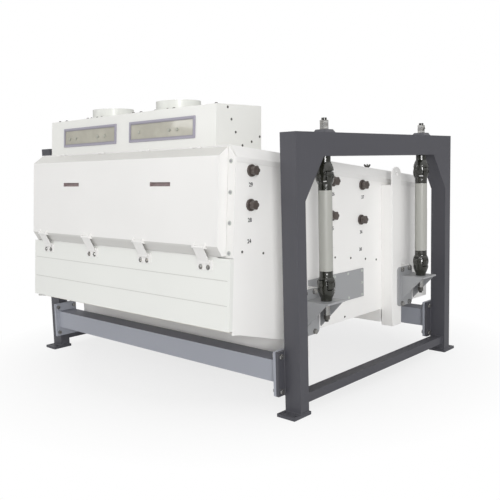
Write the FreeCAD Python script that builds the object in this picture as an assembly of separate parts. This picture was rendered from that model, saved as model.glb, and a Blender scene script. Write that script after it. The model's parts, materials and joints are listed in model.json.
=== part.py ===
"""Grain separator: an inclined sieve box that hangs on four cardan hangers in a welded frame.

Millimetres, +Z up, +X to the right seen from the front, the hood side at -Y.
The origin lies on the floor under the middle of the frame.
"""
import FreeCAD
import Part
import math
import os

# Outer frame of two portals and two tie beams
frame_width = 2756.0
frame_depth = 1906.0
frame_height = 1700.0
post_x = 120.0
post_y = 80.0
post_wall = 6.0
head_beam_height = 142.0
gusset_run = 188.0
gusset_drop = 262.0
rail_width = 80.0
rail_height = 58.0
rail_floor_gap = 66.0
rail_wall = 5.0
drain_radius = 8.0
foot_thickness = 20.0
foot_side_overhang = 8.0
foot_outer_overhang = 72.0
foot_inner_overhang = 10.0
anchor_hole_radius = 11.0
anchor_hole_offset = 45.0
anchor_hole_reach = 35.0
pad_height = 20.0
pad_foot_half = 50.0
pad_top_half = 38.0

# Tie beams and the bolted flanges that join them to the portals
tie_beam_depth = 140.0
tie_beam_height = 137.0
tie_beam_bottom = 196.0
tie_beam_wall = 6.0
flange_thickness = 20.0
flange_half_width = 100.0
flange_bottom = 119.0
flange_height = 276.0
flange_bolt_radius = 10.0
flange_bolt_half_spacing = 76.0
flange_bolt_edge = 30.0
flange_bolt_flats = 30.0
bolt_hole_clearance = 1.0
bolt_head_ratio = 0.65
nut_ratio = 0.8
washer_radius = 18.0
washer_thickness = 3.0

# Cardan hangers
hanger_inset = 353.0
pivot_drop = 124.0
lower_pivot_rise = 106.0
hanger_tube_radius = 44.0
hanger_tube_wall = 5.0
hanger_hub_length = 86.0
hub_bore_radius = 12.0
bulb_radius = 58.0
bulb_steps = 6
ear_tip_radius = 52.0
ear_drop = 28.0
yoke_shoulder = 90.0
shaft_shoulder = 50.0
yoke_neck_radius = 37.0
slot_half_width = 30.0
ear_side_gap = 6.5
ear_root = 34.0
trunnion_radius = 14.0
trunnion_half_length = 54.0
running_clearance = 0.05
cross_core_half = 25.0
upper_stud_radius = 16.5
upper_nut_flats = 50.0
upper_nut_height = 28.0
stud_end = 15.0
stud_hole_clearance = 1.0
lower_stud_radius = 12.0
lower_nut_flats = 38.0
lower_nut_height = 28.0
sleeve_radius = 22.0
sleeve_height = 79.0

# Sieve box casing
box_side_clearance = 283.0
wall_thickness = 6.0
front_foot_y = -1232.0
front_foot_z = 520.0
front_tilt = 4.457
rear_y = 1101.0
belly_z = 398.0
belly_front_y = -771.0
nose_y = -1166.0
nose_z = 509.0
roof_slope = 6.3
roof_y = -865.0
roof_z = 1606.0
roof_chamfer_run = 50.0
roof_chamfer_drop = 69.0
roof_lip_height = 32.0
roof_sheet = 4.0
fit_gap = 0.3

# Front frame, lower front panel and access hood
front_plate_thickness = 6.0
opening_side_margin = 110.0
opening_bottom_z = 1040.0
opening_top_z = 1545.0
jamb_depth = 30.0
front_plate_shoulder_z = 1566.0
front_plate_top_z = 1624.0
front_panel_bottom_z = 543.0
front_panel_top_z = 972.0
front_panel_depth = 30.0
front_panel_sheet = 4.0
crease_low_z = 693.0
crease_high_z = 841.0
crease_end_gap = 20.0
crease_width = 5.0
crease_depth = 1.5
hood_overlap = 49.0
hood_depth = 80.0
hood_sheet = 3.0
hood_face_bottom_z = 1040.0
hood_face_top_z = 1570.0
hood_foot_z = 979.0
hood_foot_depth = 38.0
hood_gap = 2.0
handle_half_spacing = 505.0
handle_half_length = 100.0
handle_half_height = 13.0
handle_z = 1405.0
handle_cup_depth = 26.0
hinge_barrel_radius = 5.0
hinge_pin_radius = 2.5
hinge_knuckle_half = 20.0
hinge_outer_knuckle = 28.0
hinge_side_gap = 1.0
hinge_leaf_thickness = 2.0
hinge_leaf_height = 30.0
hinge_lift = 2.0
hinge_offset = 7.0
hinge_z = 1632.0
hinge_inner_x = 250.0
hinge_end_distance = 284.0

# Hood latches
latch_inner_x = 298.0
latch_end_distance = 152.0
latch_base_half_width = 67.0
latch_base_bottom_z = 893.0
latch_base_top_z = 958.0
latch_base_thickness = 6.0
latch_strap_half_width = 46.0
latch_strap_thickness = 4.0
latch_pivot_depth = 88.0
latch_pivot_z = 1032.0
latch_pin_radius = 5.0
latch_barrel_radius = 9.0
latch_knee_z = 952.0
latch_knee_gap = 8.0
latch_toe_z = 933.0
latch_toe_gap = 2.5
latch_keeper_z = 940.0
latch_keeper_depth = 5.0
latch_ear_thickness = 6.0
latch_ear_top_z = 1060.0
latch_ear_foot_z = 1022.0
latch_side_gap = 1.0

# Inlet head with its windows and spouts
head_side_step = 180.0
head_top_z = 1887.0
head_rear_bottom_y = -733.0
head_rear_top_y = -722.0
head_sheet = 4.0
head_front_y = -1139.0
window_inner_x = 75.0
window_end_margin = 182.0
window_bottom_z = 1690.0
window_height = 137.0
window_border = 13.0
window_frame_thickness = 8.0
pane_thickness = 4.0
spout_half_spacing = 365.0
spout_y = -935.0
spout_radius = 150.0
spout_sheet = 3.0
spout_height = 63.0
spout_collar_width = 26.0
spout_collar_thickness = 5.0
roof_hole_front_y = -1090.0
roof_hole_rear_y = -780.0

# Sieve decks, rails, centre wall, pan and floor
upper_deck_slope = 6.3
upper_deck_y = -1029.0
upper_deck_z = 1483.0
lower_deck_slope = 8.5
lower_deck_y = -1050.0
lower_deck_z = 1280.0
deck_front_y = -1105.0
deck_rear_y = 1040.0
sieve_frame_height = 60.0
sieve_bar = 40.0
sieve_bar_count = 4
sieve_side_gap = 13.0
screen_thickness = 2.0
rail_leg = 34.0
rail_sheet = 4.0
centre_wall_half = 3.0
pan_slope = 8.5
pan_y = -1127.0
pan_z = 1006.0
pan_sheet = 4.0
pan_flange = 40.0
floor_sheet = 6.0

# Rear panel and discharge head
rear_panel_thickness = 6.0
discharge_side_margin = 95.0
discharge_slot_inner_x = 60.0
discharge_slot_height = 70.0
discharge_slot_drop = 20.0
discharge_sheet = 4.0
discharge_reach = 189.0
discharge_brow = 60.0
discharge_shoulder_drop = 200.0
outlet_pitch = 480.0
outlet_radius = 85.0
outlet_bottom_z = 470.0
discharge_bottom_z = 600.0
discharge_top_z = 1305.0

# White support frame under and beside the box
front_post_shift = 88.0
rear_post_shift = 135.0
support_post_half_y = 63.0
support_post_tube_x = 85.0
support_post_wall = 6.0
support_plate_thickness = 12.0
support_post_bottom = 273.0
support_tube_top_gap = 16.0
lug_rise = 16.0
lug_hole_radius = 15.0
lug_hole_drop = 54.0
cross_beam_half_y = 75.0
cross_beam_height = 100.0
cross_beam_wall = 6.0

# Grey hanger brackets on the box
table_top_z = 652.0
table_thickness = 12.0
table_half_y = 95.0
table_outer_reach = 77.0
bracket_base_shift = -30.0
bracket_base_half_y = 102.5
bracket_base_bottom = 415.0
bracket_base_top = 715.0
bracket_base_thickness = 12.0
bracket_corner_radius = 28.0
bracket_gusset_thickness = 10.0
bracket_gusset_foot_z = 455.0
bracket_gusset_setback = 13.0
bracket_bolt_half_y = 52.0
bracket_bolt_low_z = 433.0
bracket_bolt_high_z = 697.0
bracket_bolt_radius = 10.0
bracket_bolt_flats = 30.0
side_plate_bottom = 540.0
side_plate_top = 748.0
side_plate_rear_y = 145.0
side_plate_thickness = 10.0
side_plate_post_gap = 2.0

# Clamp knobs through the side walls
knob_front_y = -1029.0
knob_middle_y = -213.0
knob_rear_y = 146.0
knob_stem_radius = 10.0
knob_stem_inside = 8.0
knob_flange_radius = 36.5
knob_flange_thickness = 12.0
knob_hub_radius = 14.0
knob_star_start = 18.0
knob_star_thickness = 30.0
knob_star_radius = 28.5
knob_star_valley = 22.0
knob_lobes = 5

# Drive under the floor
drive_y = -115.0
drive_plate_half = 210.0
drive_plate_thickness = 12.0
motor_radius = 105.0
motor_height = 190.0
motor_flange_radius = 150.0
motor_flange_thickness = 16.0
motor_rib_count = 12
motor_rib_depth = 14.0
motor_rib_width = 7.0
motor_shaft_radius = 22.0
motor_shaft_length = 62.0
weight_radius = 230.0
weight_hub_radius = 48.0
weight_height = 48.0
weight_gap = 4.0

# Derived places
half_width = frame_width / 2
half_depth = frame_depth / 2
portal_inner_x = half_width - post_x
portal_mid_x = half_width - post_x / 2
hanger_half_spacing = half_depth - hanger_inset
beam_under_z = frame_height - head_beam_height
upper_pivot_z = beam_under_z - pivot_drop
lower_pivot_z = table_top_z + lower_pivot_rise
hanger_length = upper_pivot_z - lower_pivot_z
beam_end_x = portal_inner_x - 2 * flange_thickness
post_mid_y = half_depth - post_y / 2
box_half_width = half_width - box_side_clearance
wall_inner_x = box_half_width - wall_thickness
roof_flat_half = box_half_width - roof_chamfer_run
opening_half_width = box_half_width - opening_side_margin
hood_half_width = opening_half_width + hood_overlap
hinge_outer_x = hood_half_width - hinge_end_distance
hinge_places = (-hinge_outer_x, -hinge_inner_x, hinge_inner_x, hinge_outer_x)
latch_outer_x = hood_half_width - latch_end_distance
latch_places = (-latch_outer_x, -latch_inner_x, latch_inner_x, latch_outer_x)
head_half_width = box_half_width - head_side_step
window_outer_x = head_half_width - window_end_margin
discharge_half_width = box_half_width - discharge_side_margin
outlet_places = (-1.5 * outlet_pitch, -0.5 * outlet_pitch, 0.5 * outlet_pitch, 1.5 * outlet_pitch)
outlet_y = rear_y + discharge_reach / 2
front_post_y = -hanger_half_spacing - front_post_shift
rear_post_y = hanger_half_spacing - rear_post_shift
support_outer_x = box_half_width + support_post_tube_x + support_plate_thickness
table_outer_x = portal_mid_x + table_outer_reach
bracket_gusset_outer_x = table_outer_x - bracket_gusset_setback


def vec(x, y, z):
    return FreeCAD.Vector(x, y, z)


def box(x0, x1, y0, y1, z0, z1):
    """Axis-aligned block between two corners."""
    return Part.makeBox(x1 - x0, y1 - y0, z1 - z0, vec(x0, y0, z0))


def rod(radius, start, axis, length):
    """Cylinder from a start point along an axis."""
    return Part.makeCylinder(radius, length, start, axis)


def prism(points, direction):
    """Extrude a closed outline of 3-D points."""
    wire = Part.makePolygon(points + points[:1])
    return Part.Face(wire).extrude(direction)


def prism_x(points, x0, x1):
    """Outline of (y, z) pairs, extruded along X."""
    return prism([vec(x0, y, z) for y, z in points], vec(x1 - x0, 0, 0))


def prism_y(points, y0, y1):
    """Outline of (x, z) pairs, extruded along Y."""
    return prism([vec(x, y0, z) for x, z in points], vec(0, y1 - y0, 0))


def frustum(x, y, z0, z1, half0, half1):
    """Square pad with sloping sides."""
    rings = []
    for z, half in ((z0, half0), (z1, half1)):
        corners = [vec(x - half, y - half, z), vec(x + half, y - half, z),
                   vec(x + half, y + half, z), vec(x - half, y + half, z)]
        rings.append(Part.makePolygon(corners + corners[:1]))
    return Part.makeLoft(rings, True)


def hexagon(flats, height, base, axis):
    """Hexagonal prism across the given flats, standing on its base point."""
    corner = flats / math.sqrt(3)
    turn = FreeCAD.Rotation(vec(0, 0, 1), axis)
    ring = [vec(corner * math.cos(math.radians(60 * i)), corner * math.sin(math.radians(60 * i)), 0)
            for i in range(6)]
    points = [base + turn.multVec(p) for p in ring]
    return prism(points, axis * height)


def fuse(shapes):
    """One welded solid."""
    result = shapes[0]
    if len(shapes) > 1:
        result = result.fuse(shapes[1:]).removeSplitter()
    return result


def cut(shape, tools):
    return shape.cut(tools)


def flip_x(shape):
    """Mirror image on the other side of the machine's middle plane."""
    return shape.mirror(vec(0, 0, 0), vec(1, 0, 0))


def flip_y(shape):
    return shape.mirror(vec(0, 0, 0), vec(0, 1, 0))


def both_sides(shapes):
    """The given solids and their mirror images across the middle plane."""
    return shapes + [flip_x(s) for s in shapes]


def turned(shape, angle, y, z):
    """Turn about X at the origin, then move to (y, z)."""
    shape = shape.copy()
    shape.Placement = FreeCAD.Placement(vec(0, y, z), FreeCAD.Rotation(vec(1, 0, 0), angle))
    return shape


def on_front(shape):
    """From the front's own frame: -Y points out of the front, Z runs up along it."""
    return turned(shape, -front_tilt, front_foot_y, front_foot_z)


def up_front(z):
    """Distance along the leaning front to a height above the floor."""
    return (z - front_foot_z) / math.cos(math.radians(front_tilt))


def front_y(z):
    """Where the leaning front plane stands at a height."""
    return front_foot_y + (z - front_foot_z) * math.tan(math.radians(front_tilt))


def slope_z(y, y0, z0, slope):
    """Height at y of a line that falls to the rear."""
    return z0 - (y - y0) * math.tan(math.radians(slope))


def roof_at(y):
    return slope_z(y, roof_y, roof_z, roof_slope)


def along_roof(y):
    """Distance along the roof from its reference point."""
    return (y - roof_y) / math.cos(math.radians(roof_slope))


# Outer frame

def bolt(centre_y, z, x0, x1, radius, flats):
    """Hexagon bolt along X with its nut, through plates from x0 to x1."""
    head = bolt_head_ratio * 2 * radius
    nut = nut_ratio * 2 * radius
    shank = rod(radius, vec(x0, centre_y, z), vec(1, 0, 0), x1 - x0)
    head_end = hexagon(flats, head, vec(x0, centre_y, z), vec(-1, 0, 0))
    nut_end = hexagon(flats, nut, vec(x1, centre_y, z), vec(1, 0, 0))
    return fuse([shank, head_end, nut_end])


def flange_bolt_points():
    """(y, z) of the four bolts of a flange about the front post's middle."""
    low = flange_bottom + flange_bolt_edge
    high = flange_bottom + flange_height - flange_bolt_edge
    return [(-post_mid_y + dy, z) for dy in (-flange_bolt_half_spacing, flange_bolt_half_spacing)
            for z in (low, high)]


def flange_plate(x0):
    """One flange at the front post, drilled for its four bolts."""
    plate = box(x0, x0 + flange_thickness, -post_mid_y - flange_half_width,
                -post_mid_y + flange_half_width, flange_bottom, flange_bottom + flange_height)
    radius = flange_bolt_radius + bolt_hole_clearance
    holes = [rod(radius, vec(x0, y, z), vec(1, 0, 0), flange_thickness)
             for y, z in flange_bolt_points()]
    return cut(plate, holes)


def foot_plate():
    """Foot of the front right post with its two anchor holes."""
    plate = box(portal_inner_x - foot_side_overhang, half_width + foot_side_overhang,
                -half_depth - foot_outer_overhang, -half_depth + post_y + foot_inner_overhang,
                0, foot_thickness)
    holes = [rod(anchor_hole_radius, vec(portal_mid_x + dx, -half_depth - anchor_hole_reach, 0),
                 vec(0, 0, 1), foot_thickness) for dx in (-anchor_hole_offset, anchor_hole_offset)]
    return cut(plate, holes)


def portal_frame():
    """Right portal: posts, head beam with corner gussets, lower rail, feet, pads and flanges."""
    inner_y = half_depth - post_y
    rim = box(portal_inner_x, half_width, -half_depth, half_depth, foot_thickness, frame_height)
    window = prism_x([(-inner_y, foot_thickness), (inner_y, foot_thickness),
                      (inner_y, beam_under_z - gusset_drop), (inner_y - gusset_run, beam_under_z),
                      (-inner_y + gusset_run, beam_under_z), (-inner_y, beam_under_z - gusset_drop)],
                     portal_inner_x, half_width)
    rim = cut(rim, [window])
    low_x = portal_inner_x + post_wall
    high_x = half_width - post_wall
    post_core = box(low_x, high_x, -half_depth + post_wall, -inner_y - post_wall,
                    foot_thickness + post_wall, frame_height - post_wall)
    head_core = box(low_x, high_x, -half_depth + post_wall, half_depth - post_wall,
                    beam_under_z + post_wall, frame_height - post_wall)
    rim = cut(rim, [post_core, flip_y(post_core), head_core])
    rail_x = rail_width / 2
    rail = box(portal_mid_x - rail_x, portal_mid_x + rail_x, -inner_y, inner_y,
               rail_floor_gap, rail_floor_gap + rail_height)
    rail_core = box(portal_mid_x - rail_x + rail_wall, portal_mid_x + rail_x - rail_wall,
                    -inner_y + rail_wall, inner_y - rail_wall,
                    rail_floor_gap + rail_wall, rail_floor_gap + rail_height - rail_wall)
    drain = rod(drain_radius, vec(portal_mid_x, inner_y / 2, rail_floor_gap), vec(0, 0, 1), 2 * rail_wall)
    rail = cut(rail, [rail_core, drain])
    pads = [frustum(portal_mid_x, y, frame_height, frame_height + pad_height, pad_foot_half, pad_top_half)
            for y in (-hanger_half_spacing, hanger_half_spacing)]
    foot = foot_plate()
    flange = flange_plate(portal_inner_x - flange_thickness)
    frame = fuse([rim, rail, foot, flip_y(foot), flange, flip_y(flange)] + pads)
    bores = [rod(upper_stud_radius + stud_hole_clearance, vec(portal_mid_x, y, beam_under_z),
                 vec(0, 0, 1), head_beam_height + pad_height)
             for y in (-hanger_half_spacing, hanger_half_spacing)]
    return cut(frame, bores)


def tie_beam():
    """Front tie beam: a square tube between two drilled end plates."""
    half = tie_beam_depth / 2
    top = tie_beam_bottom + tie_beam_height
    tube = box(-beam_end_x, beam_end_x, -post_mid_y - half, -post_mid_y + half, tie_beam_bottom, top)
    core = box(-beam_end_x, beam_end_x, -post_mid_y - half + tie_beam_wall, -post_mid_y + half - tie_beam_wall,
               tie_beam_bottom + tie_beam_wall, top - tie_beam_wall)
    drains = [rod(drain_radius, vec(x, -post_mid_y, tie_beam_bottom), vec(0, 0, 1), tie_beam_wall)
              for x in (-beam_end_x + half, beam_end_x - half)]
    tube = cut(tube, [core] + drains)
    plate = flange_plate(beam_end_x)
    return fuse([tube, plate, flip_x(plate)])


def tie_beam_bolts():
    """Sixteen bolts that hold the beams' end plates to the portals' flanges."""
    one = [bolt(y, z, beam_end_x, portal_inner_x, flange_bolt_radius, flange_bolt_flats)
           for y, z in flange_bolt_points()]
    front = both_sides(one)
    return front + [flip_y(s) for s in front]


# Cardan hangers

def fork(length, neck_radius, shoulder):
    """Fork of a cardan joint: pivot at the origin, ears across Y, a bulb that narrows to the neck above."""
    foot = vec(0, 0, -ear_drop)
    tip = vec(ear_tip_radius, 0, -ear_drop)
    crown = vec(bulb_radius, 0, (shoulder - ear_drop) / 4)
    waist = vec(neck_radius, 0, shoulder)
    bulb = Part.Arc(tip, crown, waist).toShape().discretize(bulb_steps + 1)
    outline = [foot] + bulb + [vec(neck_radius, 0, length), vec(0, 0, length)]
    body = Part.Face(Part.makePolygon(outline + [foot])).revolve(vec(0, 0, 0), vec(0, 0, 1), 360)
    reach = 2 * bulb_radius
    lean = ear_side_gap / math.sqrt(2)
    knee = slot_half_width - lean
    right = [(knee, -slot_half_width), (reach, -reach - lean), (reach, reach + lean), (knee, slot_half_width)]
    bow_tie = right + [(-x, -y) for x, y in right]
    mouth = prism([vec(x, y, -reach) for x, y in bow_tie], vec(0, 0, reach + ear_root))
    bore = rod(trunnion_radius + running_clearance, vec(0, -reach, 0), vec(0, 1, 0), 2 * reach)
    return cut(cut(body, [mouth]), [bore])


def placed(shape, z, turn=0.0, upside_down=False):
    """Set a hanger piece at the front right hanger, turned about Z and perhaps hung downwards."""
    shape = shape.copy()
    rotation = FreeCAD.Rotation(vec(0, 0, 1), turn)
    if upside_down:
        rotation = rotation.multiply(FreeCAD.Rotation(vec(1, 0, 0), 180))
    shape.Placement = FreeCAD.Placement(vec(portal_mid_x, -hanger_half_spacing, z), rotation)
    return shape


def at_corners(shape):
    """The front right piece and its three mirror images, by corner name."""
    return {"front_right": shape, "front_left": flip_x(shape),
            "rear_right": flip_y(shape), "rear_left": flip_x(flip_y(shape))}


def upper_yoke():
    """Fork under the head beam with the threaded stud through the beam."""
    hub = fork(pivot_drop, yoke_neck_radius, yoke_shoulder)
    stud_length = head_beam_height + pad_height + 2 * upper_nut_height + stud_end
    stud = rod(upper_stud_radius, vec(0, 0, pivot_drop), vec(0, 0, 1), stud_length)
    return placed(fuse([hub, stud]), upper_pivot_z)


def upper_nuts():
    """Nut and lock nut on the pad above the head beam."""
    nuts = []
    z = frame_height + pad_height
    for i in range(2):
        low = vec(portal_mid_x, -hanger_half_spacing, z + i * upper_nut_height)
        nut = hexagon(upper_nut_flats, upper_nut_height, low, vec(0, 0, 1))
        nuts.append(cut(nut, [rod(upper_stud_radius + running_clearance, low, vec(0, 0, 1), upper_nut_height)]))
    return nuts


def cardan_cross():
    """Cross with four trunnions about the origin."""
    half = cross_core_half
    core = box(-half, half, -half, half, -half, half)
    length = 2 * trunnion_half_length
    along_x = rod(trunnion_radius, vec(-trunnion_half_length, 0, 0), vec(1, 0, 0), length)
    along_y = rod(trunnion_radius, vec(0, -trunnion_half_length, 0), vec(0, 1, 0), length)
    return fuse([core, along_x, along_y])


def hanger_shaft():
    """Hanger tube with a fork at each end, ears across X."""
    hub = fork(hanger_hub_length, hanger_tube_radius, shaft_shoulder)
    tube_length = hanger_length - 2 * hanger_hub_length
    low = vec(portal_mid_x, -hanger_half_spacing, lower_pivot_z + hanger_hub_length)
    tube = rod(hanger_tube_radius, low, vec(0, 0, 1), tube_length)
    bore = rod(hanger_tube_radius - hanger_tube_wall, low, vec(0, 0, 1), tube_length)
    tube = cut(tube, [bore])
    upper = placed(hub, upper_pivot_z, 90.0, True)
    lower = placed(hub, lower_pivot_z, 90.0)
    vent = rod(hub_bore_radius, vec(portal_mid_x, -hanger_half_spacing, lower_pivot_z), vec(0, 0, 1),
               hanger_length)
    return cut(fuse([tube, upper, lower]), [vent])


def lower_yoke():
    """Fork that stands on a bracket table, with its stud through the table."""
    hub = fork(lower_pivot_rise, yoke_neck_radius, yoke_shoulder)
    length = table_thickness + sleeve_height + lower_nut_height + stud_end
    stud = rod(lower_stud_radius, vec(0, 0, lower_pivot_rise), vec(0, 0, 1), length)
    return placed(fuse([hub, stud]), lower_pivot_z, 0.0, True)


def lower_nut_stack():
    """Sleeve and nut under a bracket table."""
    x = portal_mid_x
    y = -hanger_half_spacing
    sleeve_z = table_top_z - table_thickness - sleeve_height
    nut_z = sleeve_z - lower_nut_height
    sleeve = rod(sleeve_radius, vec(x, y, sleeve_z), vec(0, 0, 1), sleeve_height)
    nut = hexagon(lower_nut_flats, lower_nut_height, vec(x, y, nut_z), vec(0, 0, 1))
    bore = rod(lower_stud_radius + running_clearance, vec(x, y, nut_z), vec(0, 0, 1), table_top_z - nut_z)
    return [cut(sleeve, [bore]), cut(nut, [bore])]


# Sieve box casing

def deck_places():
    """(y, z) of the clamp knobs on one side, both decks, in columns that lean like the front."""
    points = []
    for y in (knob_front_y, knob_middle_y, knob_rear_y):
        upper = slope_z(y, upper_deck_y, upper_deck_z, upper_deck_slope)
        drop = upper - slope_z(y, lower_deck_y, lower_deck_z, lower_deck_slope)
        low_y = y - drop * math.tan(math.radians(front_tilt))
        points.append((y, upper))
        points.append((low_y, slope_z(low_y, lower_deck_y, lower_deck_z, lower_deck_slope)))
    return points


def roof_lip_x():
    return box_half_width + roof_sheet


def roof_chamfer_angle():
    return math.atan2(roof_chamfer_drop, roof_lip_x() - roof_flat_half)


def roof_inner_drop():
    """Drop of the lip's inner top corner below the roof's outer face."""
    return roof_chamfer_drop + roof_sheet * math.tan((math.pi / 2 - roof_chamfer_angle()) / 2)


def wall_top(y):
    """Top edge of the side walls, just under the roof's chamfer."""
    return roof_at(y) - roof_inner_drop() / math.cos(math.radians(roof_slope)) - fit_gap


def side_wall():
    """Right side wall, drilled for the clamp knobs."""
    top_front = front_y(wall_top(front_y(front_plate_shoulder_z)))
    outline = [(front_foot_y, front_foot_z), (nose_y, nose_z), (belly_front_y, belly_z),
               (rear_y, belly_z), (rear_y, wall_top(rear_y)), (top_front, wall_top(top_front))]
    wall = prism_x(outline, wall_inner_x, box_half_width)
    holes = [rod(knob_stem_radius + running_clearance, vec(wall_inner_x, y, z), vec(1, 0, 0), wall_thickness)
             for y, z in deck_places()]
    return cut(wall, holes)


def top_cover():
    """Folded roof: flat top, chamfers to the side lips, and a hole under the inlet head."""
    foot = -roof_chamfer_drop - roof_lip_height
    inner_flat = roof_flat_half - roof_sheet * math.tan(roof_chamfer_angle() / 2)
    outer = [(roof_lip_x(), foot), (roof_lip_x(), -roof_chamfer_drop), (roof_flat_half, 0)]
    inner = [(box_half_width, foot), (box_half_width, -roof_inner_drop()), (inner_flat, -roof_sheet)]
    outline = [(-x, z) for x, z in outer] + outer[::-1] + inner + [(-x, z) for x, z in inner[::-1]]
    sheet = prism_y(outline, along_roof(front_foot_y), along_roof(rear_y) + 2 * roof_lip_height)
    sheet = turned(sheet, -roof_slope, roof_y, roof_z)
    reach = 2 * box_half_width
    ahead = on_front(box(-reach, reach, -reach, 0, 0, reach))
    behind = box(-reach, reach, rear_y, rear_y + reach, 0, 2 * frame_height)
    hole = box(-head_half_width + 2 * head_sheet, head_half_width - 2 * head_sheet,
               roof_hole_front_y, roof_hole_rear_y, roof_z - reach / 4, roof_z + reach / 4)
    return cut(sheet, [ahead, behind, hole])


def front_frame():
    """Plate round the access opening, with a jamb that stiffens the opening's edge."""
    low = up_front(front_panel_top_z + hood_gap)
    shoulder = up_front(front_plate_shoulder_z)
    top = up_front(front_plate_top_z)
    outline = [(-box_half_width, low), (box_half_width, low), (box_half_width, shoulder),
               (roof_flat_half, top), (-roof_flat_half, top), (-box_half_width, shoulder)]
    plate = prism_y(outline, -front_plate_thickness, 0)
    z0 = up_front(opening_bottom_z)
    z1 = up_front(opening_top_z)
    jamb = box(-opening_half_width - front_plate_thickness, opening_half_width + front_plate_thickness,
               0, jamb_depth, z0 - front_plate_thickness, z1 + front_plate_thickness)
    opening = box(-opening_half_width, opening_half_width, -front_plate_thickness, jamb_depth, z0, z1)
    return on_front(cut(fuse([plate, jamb]), [opening]))


def front_panel():
    """Lower front panel: a tray with two shallow creases and returns to the side walls."""
    z0 = up_front(front_panel_bottom_z)
    z1 = up_front(front_panel_top_z)
    tray = box(-box_half_width, box_half_width, -front_panel_depth, 0, z0, z1)
    core = box(-box_half_width + front_panel_sheet, box_half_width - front_panel_sheet,
               -front_panel_depth + front_panel_sheet, 0, z0 + front_panel_sheet, z1 - front_panel_sheet)
    end = box_half_width - crease_end_gap
    creases = [box(-end, end, -front_panel_depth, -front_panel_depth + crease_depth,
                   up_front(z) - crease_width / 2, up_front(z) + crease_width / 2)
               for z in (crease_low_z, crease_high_z)]
    return on_front(cut(tray, [core] + creases))


def slot_block(x, z, half_length, half_height, y0, y1):
    """Square-ended block that runs along X about a slot's middle."""
    return box(x - half_length, x + half_length, y0, y1, z - half_height, z + half_height)


def hood_top():
    return up_front(hinge_z) - hinge_barrel_radius - hinge_lift


def hood_crown():
    """Depth of the hood's top edge in front of the front plane."""
    return hinge_offset + hinge_barrel_radius


def hood_bevel(z):
    """Depth of the hood's lower bevel at a height."""
    slope = (hood_depth - hood_foot_depth) / (hood_face_bottom_z - hood_foot_z)
    return hood_depth - (hood_face_bottom_z - z) * slope


def hood_shell():
    """Bevelled tray, open to the box, with slots for the grips."""
    top = hood_top()
    crown = hood_crown()
    face_top = up_front(hood_face_top_z)
    face_bottom = up_front(hood_face_bottom_z)
    foot = up_front(hood_foot_z)
    back = front_plate_thickness + hood_gap
    t = hood_sheet
    outer = [(-back, top), (-crown, top), (-hood_depth, face_top), (-hood_depth, face_bottom),
             (-hood_foot_depth, foot), (-hood_foot_depth, foot + 2 * t), (-back, foot + 2 * t)]
    inner = [(0, top - t), (-crown + t / 2, top - t), (-hood_depth + t, face_top - t / 2),
             (-hood_depth + t, face_bottom + t / 2), (-hood_foot_depth - t, foot + 3 * t), (0, foot + 3 * t)]
    shell = prism_x(outer, -hood_half_width, hood_half_width)
    core = prism_x(inner, -hood_half_width + t, hood_half_width - t)
    return cut(shell, [core])


def handle_cup(x):
    """Recessed grip behind one slot of the hood."""
    t = hood_sheet
    z = up_front(handle_z)
    whole = slot_block(x, z, handle_half_length + t, handle_half_height + t, -hood_depth + t,
                       -hood_depth + handle_cup_depth)
    hollow = slot_block(x, z, handle_half_length, handle_half_height, -hood_depth + t,
                        -hood_depth + handle_cup_depth - t)
    return cut(whole, [hollow])


def hood_knuckle(x0):
    """Moving knuckle of a hood hinge with the leaf that joins it to the hood's top edge."""
    z = up_front(hinge_z)
    barrel = rod(hinge_barrel_radius, vec(x0, -hinge_offset, z), vec(1, 0, 0), hinge_outer_knuckle)
    leaf = box(x0, x0 + hinge_outer_knuckle, -hood_crown(), -hood_crown() + hinge_leaf_thickness,
               hood_top() - 2 * hood_sheet, z)
    bore = rod(hinge_pin_radius + running_clearance, vec(x0, -hinge_offset, z), vec(1, 0, 0),
               hinge_outer_knuckle)
    return cut(fuse([barrel, leaf]), [bore])


def latch_ears(x):
    """Two ears on the hood's lower edge with the pin of one latch between them."""
    pivot_z = up_front(latch_pivot_z)
    out = latch_pivot_depth + latch_barrel_radius
    low = up_front(latch_ear_foot_z)
    outline = [(-hood_depth, up_front(latch_ear_top_z)), (-out, pivot_z + latch_barrel_radius),
               (-out, pivot_z - latch_barrel_radius / 2), (-latch_pivot_depth, low),
               (-hood_bevel(latch_ear_foot_z), low), (-hood_depth, up_front(hood_face_bottom_z))]
    reach = latch_strap_half_width + latch_side_gap
    pin = rod(latch_pin_radius, vec(x - reach, -latch_pivot_depth, pivot_z), vec(1, 0, 0), 2 * reach)
    left = prism_x(outline, x - reach - latch_ear_thickness, x - reach)
    right = prism_x(outline, x + reach, x + reach + latch_ear_thickness)
    return [left, right, pin]


def access_hood():
    """Front hood: a bevelled tray with recessed grips, hinge knuckles and latch ears."""
    grips = [slot_block(x, up_front(handle_z), handle_half_length, handle_half_height,
                        -hood_depth, -hood_depth + hood_sheet)
             for x in (-handle_half_spacing, handle_half_spacing)]
    reliefs = []
    fittings = [handle_cup(x) for x in (-handle_half_spacing, handle_half_spacing)]
    for x in hinge_places:
        half = hinge_knuckle_half + hinge_side_gap
        reliefs.append(box(x - half, x + half, -hood_crown() - hinge_side_gap, 0,
                           hood_top() - 2 * hinge_barrel_radius, up_front(hinge_z)))
        fittings += [hood_knuckle(x - half - hinge_outer_knuckle), hood_knuckle(x + half)]
    for x in latch_places:
        fittings += latch_ears(x)
    return on_front(fuse([cut(hood_shell(), grips + reliefs)] + fittings))


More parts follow.
